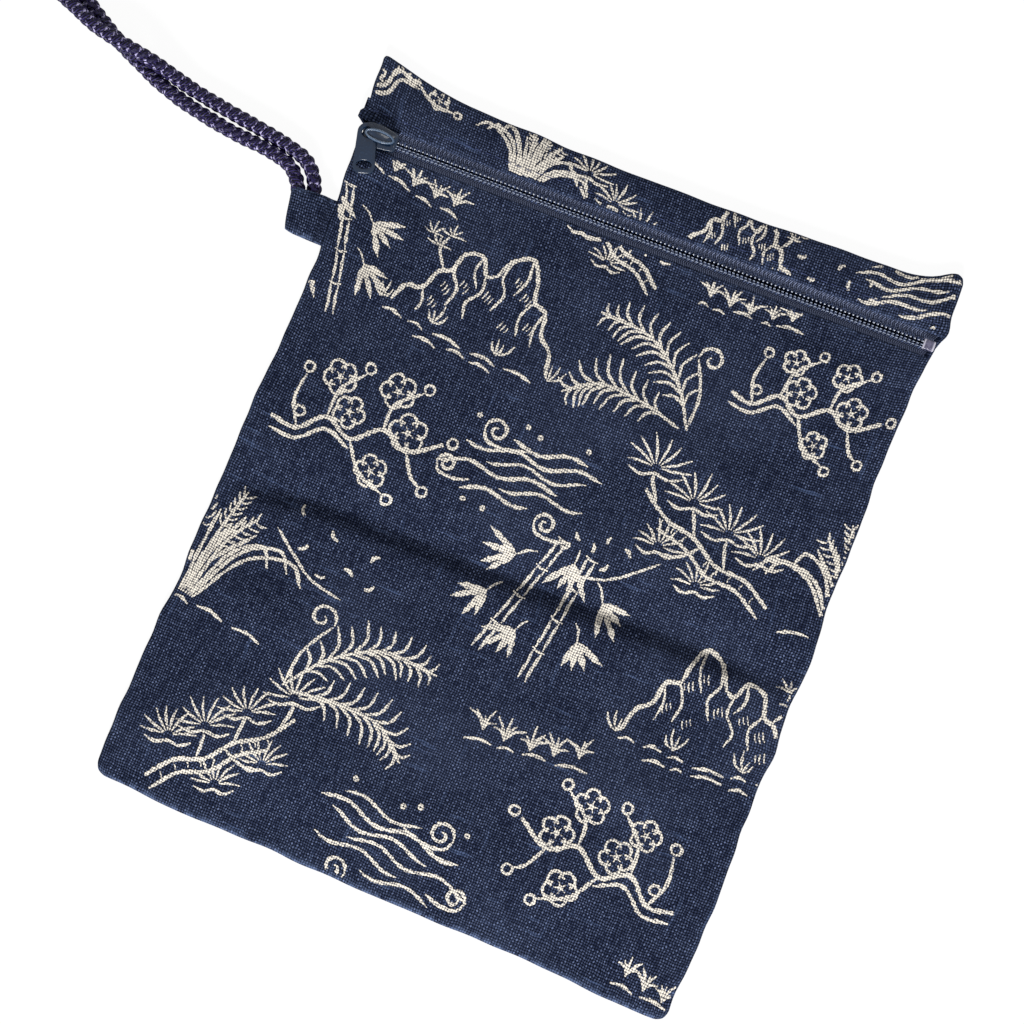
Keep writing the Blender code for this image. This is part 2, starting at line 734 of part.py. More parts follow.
def even_curve(route, count):
    """Evenly spaced points on a smooth curve through the route's points."""
    points = np.array([route[0], *route, route[-1]])
    points[0] = 2 * points[1] - points[2]
    points[-1] = 2 * points[-2] - points[-3]
    dense = []
    for a, b, c, d in zip(points, points[1:], points[2:], points[3:]):
        for t in np.linspace(0, 1, 24, endpoint=False):
            pull = (2 * a - 5 * b + 4 * c - d) * t**2 + (3 * b - a - 3 * c + d) * t**3
            dense.append(0.5 * (2 * b + (c - a) * t + pull))
    dense.append(points[-2])
    dense = np.array(dense)
    run = np.concatenate([[0], np.cumsum(np.linalg.norm(np.diff(dense, axis=0), axis=1))])
    at = np.linspace(0, run[-1], count)
    return np.column_stack([np.interp(at, run, dense[:, k]) for k in range(3)])


def make_cord():
    """One round braided cord, both ends inside the tab."""
    curve = bpy.data.curves.new("wrist_cord", "CURVE")
    curve.dimensions = "3D"
    curve.bevel_depth = CORD_DIAMETER / 2
    curve.bevel_resolution = 2
    curve.use_fill_caps = True
    spline = curve.splines.new("POLY")
    path = even_curve(cord_route(), CORD_POINTS)
    spline.points.add(len(path) - 1)
    for point, place in zip(spline.points, path):
        point.co = (*place, 1)
    cord = bpy.data.objects.new("wrist_cord", curve)
    bpy.context.scene.collection.objects.link(cord)
    curve.materials.append(PURPLE_BRAID.material("wrist_cord_finish"))
    cord.parent = pouch_frame


def frame_offset():
    """The plan's middle of everything but the cord, from the cloth's outline and the tab's reach."""
    border = [plan_point(s, t) for s in np.linspace(0, POUCH_WIDTH, 181) for t in (0, POUCH_HEIGHT)]
    border += [plan_point(s, t) for t in np.linspace(0, POUCH_HEIGHT, 181) for s in (0, POUCH_WIDTH)]
    xs = [x for x, _ in border] + [edge_x(TAB_Y) - TAB_REACH]
    ys = [y for _, y in border]
    return Vector(((min(xs) + max(xs)) / 2, (min(ys) + max(ys)) / 2, 0))


for old in list(bpy.data.objects):
    bpy.data.objects.remove(old, do_unlink=True)

TAB_Y = POUCH_HEIGHT / 2 - TAB_FROM_TOP
pouch_frame = bpy.data.objects.new("pouch_frame", None)
bpy.context.scene.collection.objects.link(pouch_frame)
pouch_frame.matrix_world = Matrix.Translation(-frame_offset())

window_left, window_right = make_outer_cloth()
make_tapes(window_left, window_right)
stop_left = make_stop(window_right)
closed_slider_x = window_left + SLIDER_END_PLAY + SLIDER_LENGTH / 2
for coil_name, coil_side in (("upper", 1), ("lower", -1)):
    make_coil(coil_name, coil_side, window_left + MIN_GAP, stop_left - MIN_GAP, closed_slider_x)
slider_body = make_slider(closed_slider_x)
make_pull(slider_body)
make_tab()
make_cord()
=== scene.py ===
"""A flat zip pouch of navy slub cotton with a cream line print, a coil zip and a braided wrist cord.

The pouch lies on its back, front up. Sizes are in metres. The plan coordinates have their origin in the
middle of the flat cloth, with X along the zip and Y towards the top edge.
"""

import logging
import math
from collections.abc import Sequence
from dataclasses import dataclass, field
from enum import Enum

import bmesh
import bpy
import numpy as np
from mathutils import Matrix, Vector
from mathutils.bvhtree import BVHTree


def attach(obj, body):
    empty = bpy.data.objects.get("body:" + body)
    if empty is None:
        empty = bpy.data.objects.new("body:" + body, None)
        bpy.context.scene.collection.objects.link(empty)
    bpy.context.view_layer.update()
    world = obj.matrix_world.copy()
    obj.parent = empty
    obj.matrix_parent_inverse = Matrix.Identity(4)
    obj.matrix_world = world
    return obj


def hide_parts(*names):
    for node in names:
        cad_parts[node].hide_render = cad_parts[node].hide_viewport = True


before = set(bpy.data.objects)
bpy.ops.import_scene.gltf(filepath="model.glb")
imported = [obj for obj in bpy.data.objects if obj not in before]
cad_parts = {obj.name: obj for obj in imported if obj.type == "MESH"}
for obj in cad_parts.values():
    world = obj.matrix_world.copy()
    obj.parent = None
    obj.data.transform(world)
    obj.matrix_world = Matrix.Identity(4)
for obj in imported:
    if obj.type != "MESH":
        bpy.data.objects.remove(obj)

log = logging.getLogger("pouch")

MM = 0.001
Value = float | int | tuple | bpy.types.NodeSocket | bpy.types.Node | bpy.types.Material


def linear(code: str) -> tuple[float, float, float, float]:
    """Turns a hex sRGB colour into linear RGBA.

    Args:
        code: the colour, such as "#223355".

    Returns:
        Red, green, blue and an alpha of 1.
    """
    parts = [int(code[i : i + 2], 16) / 255 for i in (1, 3, 5)]
    low = [p / 12.92 if p <= 0.04045 else ((p + 0.055) / 1.055) ** 2.4 for p in parts]
    return (low[0], low[1], low[2], 1.0)


def smooth(t: np.ndarray | float) -> np.ndarray:
    """A ramp from 0 to 1 with level ends."""
    t = np.clip(t, 0.0, 1.0)
    return t * t * (3 - 2 * t)


def bell(distance: np.ndarray | float, width: float) -> np.ndarray:
    """1 in the middle, falling to nothing over a few widths."""
    return np.exp(-((distance / width) ** 2))


def first_output(node: bpy.types.Node) -> bpy.types.NodeSocket:
    """The output that a node's value is read from."""
    colour = node.bl_idname == "ShaderNodeMix" and node.data_type == "RGBA"
    return node.outputs[2 if colour else 0]


def add_node(
    tree: bpy.types.NodeTree, kind: str, inputs: dict[int | str, Value] | None = None, **settings: object
) -> bpy.types.Node:
    """Adds a node, with its settings, its values and its links.

    Args:
        tree: the node tree.
        kind: the node's type.
        inputs: what goes into each input, a plain value, a socket or a node.
        settings: the node's own properties.

    Returns:
        The new node.
    """
    node = tree.nodes.new(kind)
    for name, value in settings.items():
        setattr(node, name, value)
    for key, value in (inputs or {}).items():
        if isinstance(value, Field):
            value = value.socket
        if isinstance(value, bpy.types.Node):
            value = first_output(value)
        if isinstance(value, bpy.types.NodeSocket):
            tree.links.new(value, node.inputs[key])
        else:
            node.inputs[key].default_value = value
    return node


class Field:
    """A number that varies over a surface or along a curve, worked out by nodes with plain arithmetic."""

    def __init__(self, tree: bpy.types.NodeTree, source: Value) -> None:
        """Wraps a socket or a node's first output."""
        self.tree = tree
        self.socket = first_output(source) if isinstance(source, bpy.types.Node) else source

    def math(self, operation: str, *others: "Field | float") -> "Field":
        """Applies a Math node, with this field as its first value.

        Args:
            operation: the node's operation.
            others: the values after the first, fields or numbers.

        Returns:
            The result.
        """
        values = {0: self.socket}
        for i, other in enumerate(others):
            values[i + 1] = other.socket if isinstance(other, Field) else other
        return Field(self.tree, add_node(self.tree, "ShaderNodeMath", values, operation=operation))

    def __add__(self, other: "Field | float") -> "Field":
        """Sum."""
        return self.math("ADD", other)

    def __sub__(self, other: "Field | float") -> "Field":
        """Difference."""
        return self.math("SUBTRACT", other)

    def __mul__(self, other: "Field | float") -> "Field":
        """Product."""
        return self.math("MULTIPLY", other)

    def __truediv__(self, other: "Field | float") -> "Field":
        """Quotient."""
        return self.math("DIVIDE", other)

    def __pow__(self, other: "Field | float") -> "Field":
        """Power."""
        return self.math("POWER", other)

    def ramp(self, low: float, high: float) -> "Field":
        """A smooth step from 0 at low to 1 at high.

        Args:
            low: where the step starts.
            high: where it ends.

        Returns:
            The step, from 0 to 1.
        """
        values = {0: self.socket, 1: low, 2: high, 3: 0.0, 4: 1.0}
        node = add_node(self.tree, "ShaderNodeMapRange", values, interpolation_type="SMOOTHSTEP")
        return Field(self.tree, node)


class Spread(Enum):
    """Which way the streaks of an uneven thread run."""

    ALONG_U = (0.09, 0.9)
    ALONG_V = (0.9, 0.09)
    EVEN = (1.0, 1.0)


class Surface:
    """A Principled material that is put together from patterns."""

    def __init__(self, name: str, coordinates: str = "UV") -> None:
        """Starts the material, with two coordinates in metres.

        Args:
            name: the material's name.
            coordinates: "UV" for the piece's own map, or "Object" for its place.
        """
        self.material = bpy.data.materials.new(name)
        self.material.use_nodes = True
        self.tree = self.material.node_tree
        self.shader = self.tree.nodes["Principled BSDF"]
        place = add_node(self.tree, "ShaderNodeTexCoord").outputs[coordinates]
        parts = add_node(self.tree, "ShaderNodeSeparateXYZ", {0: place})
        self.u, self.v, self.w = (Field(self.tree, socket) for socket in parts.outputs)

    def noise(self, u: Field, v: Field, scale: float = 1.0, spread: Spread = Spread.EVEN,
              detail: float = 2.0) -> Field:
        """A noise over two fields.

        Args:
            u: the first coordinate.
            v: the second coordinate.
            scale: how many features a unit holds.
            spread: which way the features are drawn out.
            detail: how much finer noise is added.

        Returns:
            The noise, from 0 to 1.
        """
        stretch_u, stretch_v = spread.value
        both = {0: u * (scale * stretch_u), 1: v * (scale * stretch_v)}
        vector = add_node(self.tree, "ShaderNodeCombineXYZ", both)
        values = {"Vector": vector, "Scale": 1.0, "Detail": detail}
        return Field(self.tree, add_node(self.tree, "ShaderNodeTexNoise", values, noise_dimensions="2D"))

    def grain(self, u: Field, v: Field) -> Field:
        """A random number for each whole step of the two fields.

        Args:
            u: the first coordinate.
            v: the second coordinate.

        Returns:
            The number, from 0 to 1.
        """
        cell = add_node(self.tree, "ShaderNodeCombineXYZ", {0: u.math("FLOOR"), 1: v.math("FLOOR")})
        node = add_node(self.tree, "ShaderNodeTexWhiteNoise", {"Vector": cell}, noise_dimensions="2D")
        return Field(self.tree, node)

    def attribute(self, name: str) -> Field:
        """A number that the mesh carries at its points."""
        node = add_node(self.tree, "ShaderNodeAttribute", attribute_name=name)
        return Field(self.tree, node.outputs["Fac"])

    def mix(self, share: Field | float, first: Value, second: Value) -> bpy.types.Node:
        """Mixes two colours by a share, each a hex code or a node.

        Args:
            share: how much of the second colour there is.
            first: a hex code or a node.
            second: a hex code or a node.

        Returns:
            The mixed colour.
        """
        pair = [linear(c) if isinstance(c, str) else c for c in (first, second)]
        values = {0: share, 6: pair[0], 7: pair[1]}
        return add_node(self.tree, "ShaderNodeMix", values, data_type="RGBA")

    def finish(self, colour: Value, height: Field | None = None, depth: float = 0.0,
               **sockets: Value) -> bpy.types.Material:
        """Sets the shader's sockets.

        Args:
            colour: the base colour.
            height: the relief, from 0 to 1.
            depth: how deep the relief is, in metres.
            sockets: the shader's other sockets, with _ for a space.

        Returns:
            The finished material.
        """
        sockets = {"Base Color": colour, **{k.replace("_", " "): v for k, v in sockets.items()}}
        if height is not None:
            values = {"Strength": 1.0, "Distance": depth, "Height": height}
            sockets["Normal"] = add_node(self.tree, "ShaderNodeBump", values)
        for name, value in sockets.items():
            if isinstance(value, str):
                value = linear(value)
            if isinstance(value, Field):
                value = value.socket
            if isinstance(value, bpy.types.Node):
                value = first_output(value)
            if isinstance(value, bpy.types.NodeSocket):
                self.tree.links.new(value, self.shader.inputs[name])
            else:
                self.shader.inputs[name].default_value = value
        return self.material


@dataclass(frozen=True)
class WovenCotton:
    """Plain-weave slub cotton: painted shade in the gaps, dyed threads with painted highlights on their
    crowns, and paler streaks of thick thread.
    """

    name: str
    gap: str
    ground: str
    crown: str
    slub: str
    worn_and_lit: str
    pitch: float = 0.00075
    relief: float = 0.00011
    wander: float = 1.1
    wander_rate: float = 260.0
    sway_rate: float = 310.0

    def weave(self, surface: Surface) -> tuple[Field, Field, Field, Field, Field]:
        """The threads' relief.

        Args:
            surface: the material under way, with the cloth's own map in metres.

        Returns:
            The weave's height from 0 to 1, the unevenness of the threads on top, both thread coordinates, and
            where the lengthwise threads are on top.
        """
        wander = surface.noise(surface.u, surface.v, self.wander_rate)
        sway = surface.noise(surface.v, surface.u, self.sway_rate)
        u = surface.u / self.pitch + wander * self.wander
        v = surface.v / self.pitch + sway * self.wander
        across, along = (u * math.pi).math("SINE"), (v * math.pi).math("SINE")
        crossing = across * along
        across, along = across.math("ABSOLUTE"), along.math("ABSOLUTE")
        warp = surface.noise(u, v, 0.9, Spread.ALONG_V)
        weft = surface.noise(u, v, 0.9, Spread.ALONG_U)
        warp_on_top = crossing.ramp(-0.05, 0.05)
        warp_height = across ** 0.6 * (along * 0.5 + 0.5)
        weft_height = along ** 0.6 * (across * 0.5 + 0.5)
        height = weft_height + (warp_height - weft_height) * warp_on_top
        uneven = weft + (warp - weft) * warp_on_top
        return height, uneven, u, v, warp_on_top

    def material(self) -> bpy.types.Material:
        """Builds the cloth's material.

        Returns:
            The material.
        """
        surface = Surface(self.name)
        height, uneven, u, v, warp_on_top = self.weave(surface)
        grain = surface.grain(u, v)
        # Painted shade in the gaps between the threads.
        colour = surface.mix(height.ramp(0.30, 0.80), self.gap, self.ground)
        lit = grain * 0.75 + uneven.ramp(0.35, 0.70) * 0.60 - 0.16
        # Painted highlight on the threads' crowns.
        crown = height.ramp(0.50, 0.96) * (warp_on_top * 0.60 + 0.40) * lit
        colour = surface.mix(crown.math("MAXIMUM", 0.0), colour, self.crown)
        weft_slub = surface.noise(u, v, 0.45, Spread.ALONG_U, 1.0).ramp(0.66, 0.86)
        warp_slub = surface.noise(v, u, 0.38, Spread.ALONG_U, 1.0).ramp(0.70, 0.88)
        patchy = surface.noise(surface.u, surface.v, 60.0).ramp(0.40, 0.62)
        streak = (weft_slub * patchy + warp_slub * 0.5) * height.ramp(0.1, 0.6)
        colour = surface.mix(streak * 0.45, colour, self.slub)
        faded = surface.noise(surface.u, surface.v, 28.0, detail=4.0).ramp(0.40, 0.75)
        colour = surface.mix(faded * height * 0.10, colour, self.crown)
        # Paler rims, partly fading and partly a painted highlight along the lit bottom fold.
        rubbed_and_highlight = surface.attribute("wear_and_highlight") * surface.noise(surface.u, surface.v, 420.0).ramp(0.30, 0.68)
        colour = surface.mix(rubbed_and_highlight * height.ramp(0.05, 0.6), colour, self.worn_and_lit)
        relief = height * (uneven * 0.8 + 0.6)
        return surface.finish(colour, relief, self.relief, Roughness=0.90, Specular_IOR_Level=0.02)

    def printed(self, name: str, ink: str, thin: str) -> bpy.types.Material:
        """The same threads under a pigment print, which sits on their crowns and breaks up in the gaps.

        Args:
            name: the material's name.
            ink: the colour where the pigment lies thick.
            thin: its colour where it soaked in between the threads.

        Returns:
            The material.
        """
        surface = Surface(name)
        height, uneven, _, _, _ = self.weave(surface)
        cover = surface.noise(surface.u, surface.v, 900.0, detail=3.0)
        grain = surface.grain(surface.u / self.pitch, surface.v / self.pitch)
        base = surface.mix((height + cover * 0.35 + grain * 0.25).ramp(0.42, 0.86), self.ground, thin)
        colour = surface.mix((height + uneven * 0.4 + grain * 0.3).ramp(0.66, 1.22), base, ink)
        relief = height * (uneven * 0.8 + 0.6)
        return surface.finish(colour, relief, self.relief, Roughness=0.80, Specular_IOR_Level=0.05)


@dataclass(frozen=True)
class WovenTape:
    """Zip tape: tightly woven polyester whose ribs meet in a fine herringbone, with painted highlights on
    their crests.
    """

    name: str
    dark: str
    crest_highlight: str
    rib: float = 0.00064
    bone: float = 0.0012
    pick: float = 0.00042
    relief: float = 0.00006

    def material(self) -> bpy.types.Material:
        """Builds the tape's material on its place, X along the tape.

        Returns:
            The material.
        """
        surface = Surface(self.name, "Object")
        zigzag = (surface.v / self.bone).math("PINGPONG", 1.0)
        slant = surface.u / self.rib + zigzag * 1.2
        rib = (slant * (2 * math.pi)).math("SINE") * 0.5 + 0.5
        pick = (surface.v / self.pick * (2 * math.pi)).math("SINE") * 0.5 + 0.5
        fibre = surface.noise(surface.u, surface.v, 5200.0, detail=3.0)
        # Painted highlight: the pale crest colour on each rib.
        crest_highlight_mask = rib.ramp(0.15, 0.65) * (pick * 0.35 + 0.65) * (fibre.ramp(0.3, 0.7) * 0.4 + 0.6)
        colour = surface.mix(crest_highlight_mask, self.dark, self.crest_highlight)
        return surface.finish(colour, rib * 0.8 + fibre * 0.2, self.relief, Roughness=0.62,
                              Specular_IOR_Level=0.05)


@dataclass(frozen=True)
class Nylon:
    """Moulded or drawn nylon, with faint drawing lines and an uneven gloss."""

    name: str
    colour: str
    bright: str
    roughness: float = 0.3
    clear: float = 0.0
    shine: float = 0.5
    rim: str = ""
    middle: float = 0.0
    half_length: float = 0.0

    def material(self) -> bpy.types.Material:
        """Builds the plastic's material.

        A block with a rim colour is paler at its two ends, where it is thick.

        Returns:
            The material.
        """
        surface = Surface(self.name, "Object")
        cloud = surface.noise(surface.u, surface.v, 900.0, detail=3.0)
        colour = surface.mix(cloud.ramp(0.35, 0.75), self.colour, self.bright)
        if self.rim:
            outward = (surface.u - self.middle).math("ABSOLUTE")
            thick = outward.ramp(self.half_length * 0.58, self.half_length * 0.84)
            colour = surface.mix(thick, colour, self.rim)
        gloss = cloud.ramp(0.2, 0.8) * 0.14 + (self.roughness - 0.05)
        return surface.finish(colour, cloud, 0.00001, Roughness=gloss, IOR=1.53,
                              Transmission_Weight=self.clear, Specular_IOR_Level=self.shine)


@dataclass(frozen=True)
class PaintedCasting:
    """Glossy paint baked on a small zinc casting: orange peel, a soft clear layer and pale spots, partly
    scuffed paint and partly painted highlight.
    """

    name: str
    paint: str
    rubbed_and_highlight: str

    def material(self) -> bpy.types.Material:
        """Builds the paint's material.

        Returns:
            The material.
        """
        surface = Surface(self.name, "Object")
        peel = surface.noise(surface.u, surface.v, 2600.0, detail=2.0)
        spots = surface.noise(surface.u + surface.w, surface.v, 1500.0, detail=5.0)
        # The pale spot colour is partly scuffed paint and partly painted highlight.
        colour = surface.mix(spots.ramp(0.62, 0.78) * 0.55, self.paint, self.rubbed_and_highlight)
        gloss = spots.ramp(0.3, 0.8) * 0.16 + 0.20
        return surface.finish(colour, peel, 0.000012, Roughness=gloss, Specular_IOR_Level=0.30,
                              Coat_Weight=0.20, Coat_Roughness=0.10)


@dataclass(frozen=True)
class TwistedThread:
    """Filament yarn, with the fine lines of its twist along each strand."""

    name: str
    shade: str
    lit: str
    gleam: str
    twist: float = 1.0
    roughness: float = 0.42

    def material(self) -> bpy.types.Material:
        """Builds the yarn's material from its strand map: how far along, and how far round.

        Returns:
            The material.
        """
        surface = Surface(self.name, "Object")
        along = surface.attribute("strand_along")
        around = surface.attribute("strand_around")
        lines = ((around * 5.0 + along * self.twist) * (2 * math.pi)).math("SINE") * 0.5 + 0.5
        fleck = surface.noise(along, around, 3.0, detail=3.0)
        tone = lines * 0.6 + fleck * 0.4
        colour = surface.mix(tone.ramp(0.35, 0.9), self.shade, self.lit)
        spots = surface.noise(along, around, 2.0).ramp(0.38, 0.54)
        gleam = surface.attribute("strand_dip").ramp(0.74, 0.96) * spots
        colour = surface.mix(gleam, colour, self.gleam)
        return surface.finish(colour, tone, 0.00005, Roughness=self.roughness, Specular_IOR_Level=0.12)


@dataclass(frozen=True)
class SewnThread:
    """Spun polyester sewing thread, whose plies slant across each stitch."""

    name: str
    shade: str
    lit: str
    ply: float = 0.00028

    def material(self) -> bpy.types.Material:
        """Builds the thread's material on its place.

        Returns:
            The material.
        """
        surface = Surface(self.name, "Object")
        plies = (((surface.u + surface.v * 0.8) / self.ply) * (2 * math.pi)).math("SINE") * 0.5 + 0.5
        fuzz = surface.noise(surface.u, surface.v, 7000.0, detail=3.0)
        tone = plies * 0.5 + fuzz * 0.5
        colour = surface.mix(tone.ramp(0.25, 0.75), self.shade, self.lit)
        return surface.finish(colour, tone, 0.00003, Roughness=0.55, Specular_IOR_Level=0.3)


class Pattern:
    """A Geometry Nodes tree with named inputs, which turns a guide mesh into finished, plain geometry."""

    def __init__(self, name: str, sizes: dict[str, str]) -> None:
        """Starts the tree.

        Args:
            name: the tree's name.
            sizes: each input's name and socket type, besides the guide and the material.
        """
        self.name = name
        self.tree = bpy.data.node_groups.new(name, "GeometryNodeTree")
        made = self.tree.interface.new_socket
        made(name="Guide", in_out="INPUT", socket_type="NodeSocketGeometry")
        made(name="Made", in_out="OUTPUT", socket_type="NodeSocketGeometry")
        kinds = {**sizes, "Material": "NodeSocketMaterial"}
        self.keys = {n: made(name=n, in_out="INPUT", socket_type=k).identifier for n, k in kinds.items()}
        self.inputs = add_node(self.tree, "NodeGroupInput")

    def size(self, name: str) -> Field:
        """One of the named inputs."""
        return Field(self.tree, self.inputs.outputs[name])

    def add(self, kind: str, inputs: dict[int | str, Value] | None = None,
            **settings: object) -> bpy.types.Node:
        """Adds a node to the tree."""
        return add_node(self.tree, kind, inputs, **settings)

    def curve(self) -> bpy.types.Node:
        """The guide as a curve."""
        return self.add("GeometryNodeMeshToCurve", {0: self.inputs.outputs["Guide"]})

    def resampled(self, count: Value) -> bpy.types.Node:
        """The guide as a curve of evenly spaced points."""
        return self.add("GeometryNodeResampleCurve", {"Curve": self.curve(), "Count": count}, mode="COUNT")

    def along(self, measure: str) -> Field:
        """How far along its curve a point is, as a "Factor" or a "Length"."""
        return Field(self.tree, self.add("GeometryNodeSplineParameter").outputs[measure])

    def store(self, geometry: Value, name: str, value: Value, kind: str = "FLOAT",
              domain: str = "POINT") -> bpy.types.Node:
        """Keeps a value on the geometry under a name."""
        values = {0: geometry, "Name": name, "Value": value}
        return self.add("GeometryNodeStoreNamedAttribute", values, data_type=kind, domain=domain)

    def stored(self, name: str, kind: str = "FLOAT") -> bpy.types.NodeSocket:
        """A value that was kept on the geometry."""
        return self.add("GeometryNodeInputNamedAttribute", {"Name": name}, data_type=kind).outputs[0]

    def vector(self, operation: str, inputs: dict[int | str, Value]) -> bpy.types.Node:
        """A sum with vectors."""
        return self.add("ShaderNodeVectorMath", inputs, operation=operation)

    def ring(self, radius: str) -> bpy.types.Node:
        """The round section of a thread, whose radius is a named input."""
        return self.add("GeometryNodeCurvePrimitiveCircle", {"Resolution": 6, "Radius": self.size(radius)})

    def sweep(self, curve: Value, section: Value) -> None:
        """Closes the tree with a bar that has the section all along the curve."""
        values = {"Curve": curve, "Profile Curve": section, "Fill Caps": True}
        self.end(self.add("GeometryNodeCurveToMesh", values))

    def end(self, geometry: Value) -> None:
        """Closes the tree: real geometry, smooth, with its material.

        Args:
            geometry: what the tree has made.
        """
        real = self.add("GeometryNodeRealizeInstances", {0: geometry})
        smoothed = self.add("GeometryNodeSetShadeSmooth", {0: real})
        values = {0: smoothed, "Material": self.inputs.outputs["Material"]}
        self.add("NodeGroupOutput", {0: self.add("GeometryNodeSetMaterial", values)})

    def run(self, name: str, guide: bpy.types.Mesh, material: bpy.types.Material,
            **sizes: float) -> bpy.types.Object:
        """Runs the tree on a guide.

        Args:
            name: the new piece's name.
            guide: the mesh that the pattern follows.
            material: what the piece is made of.
            sizes: a value for each named input, with _ for a space.

        Returns:
            A plain mesh object with nothing live on it.
        """
        carrier = bpy.data.objects.new(name + "_guide", guide)
        bpy.context.scene.collection.objects.link(carrier)
        step = carrier.modifiers.new(self.name, "NODES")
        step.node_group = self.tree
        step[self.keys["Material"]] = material
        for key, value in sizes.items():
            step[self.keys[key.replace("_", " ")]] = value
        depsgraph = bpy.context.evaluated_depsgraph_get()
        mesh = bpy.data.meshes.new_from_object(carrier.evaluated_get(depsgraph))
        bpy.data.objects.remove(carrier, do_unlink=True)
        return place(name, mesh)


def place(name: str, mesh: bpy.types.Mesh) -> bpy.types.Object:
    """Puts a mesh in the scene as an object at the origin.

    Args:
        name: the name of the object and of its mesh.
        mesh: the mesh.

    Returns:
        The object.
    """
    mesh.name = name
    made = bpy.data.objects.new(name, mesh)
    bpy.context.scene.collection.objects.link(made)
    return made


def guide_line(points: Sequence[Sequence[float]]) -> bpy.types.Mesh:
    """A mesh of one open line through the points, for a pattern to follow.

    Args:
        points: what the line goes through.

    Returns:
        The mesh.
    """
    mesh = bpy.data.meshes.new("guide")
    mesh.from_pydata([tuple(p) for p in points], [(i, i + 1) for i in range(len(points) - 1)], [])
    return mesh


@dataclass(frozen=True)
class Fold:
    """A soft ridge, or a valley where rise is negative, between two plan points."""

    start: tuple[float, float]
    end: tuple[float, float]
    half_width: float
    rise: float

    def height(self, x: np.ndarray, y: np.ndarray) -> np.ndarray:
        """How much the fold adds at each plan point.

        Args:
            x: plan coordinates.
            y: plan coordinates.

        Returns:
            The heights.
        """
        way = np.subtract(self.end, self.start)
        along = ((x - self.start[0]) * way[0] + (y - self.start[1]) * way[1]) / (way @ way)
        held = np.clip(along, 0.0, 1.0)
        distance = np.hypot(x - self.start[0] - held * way[0], y - self.start[1] - held * way[1])
        swell = 0.35 + 0.65 * np.sin(math.pi * held)
        return self.rise * swell * bell(distance, self.half_width)


def waves(x: np.ndarray, y: np.ndarray, length: float, seed: int) -> np.ndarray:
    """Gentle unevenness from a few crossing waves.

    Args:
        x: plan coordinates.
        y: plan coordinates.
        length: the typical wavelength.
        seed: fixes the waves' directions and phases.

    Returns:
        Heights between about -1 and 1.
    """
    rng = np.random.default_rng(seed)
    total = np.zeros_like(x)
    for _ in range(7):
        angle, phase = rng.uniform(0, math.pi), rng.uniform(0, 2 * math.pi)
        pitch = length * rng.uniform(0.7, 1.5)
        total += np.sin((x * math.cos(angle) + y * math.sin(angle)) * 2 * math.pi / pitch + phase)
    return total / 3.5


@dataclass(frozen=True)
class EdgeBump:
    """A place where the outline stands out, or in where out is negative."""

    at: float
    half_width: float
    out: float

    def push(self, along: np.ndarray, inward: np.ndarray) -> np.ndarray:
        """How far points are moved outwards, less and less away from the edge."""
        reach = min(1.2 * self.half_width + 0.0015, 0.012)
        return self.out * bell(along - self.at, self.half_width) * bell(inward, reach)


class Face(Enum):
    """Which side of the pouch a piece of the cloth is on."""

    FRONT = "front"
    BACK = "back"


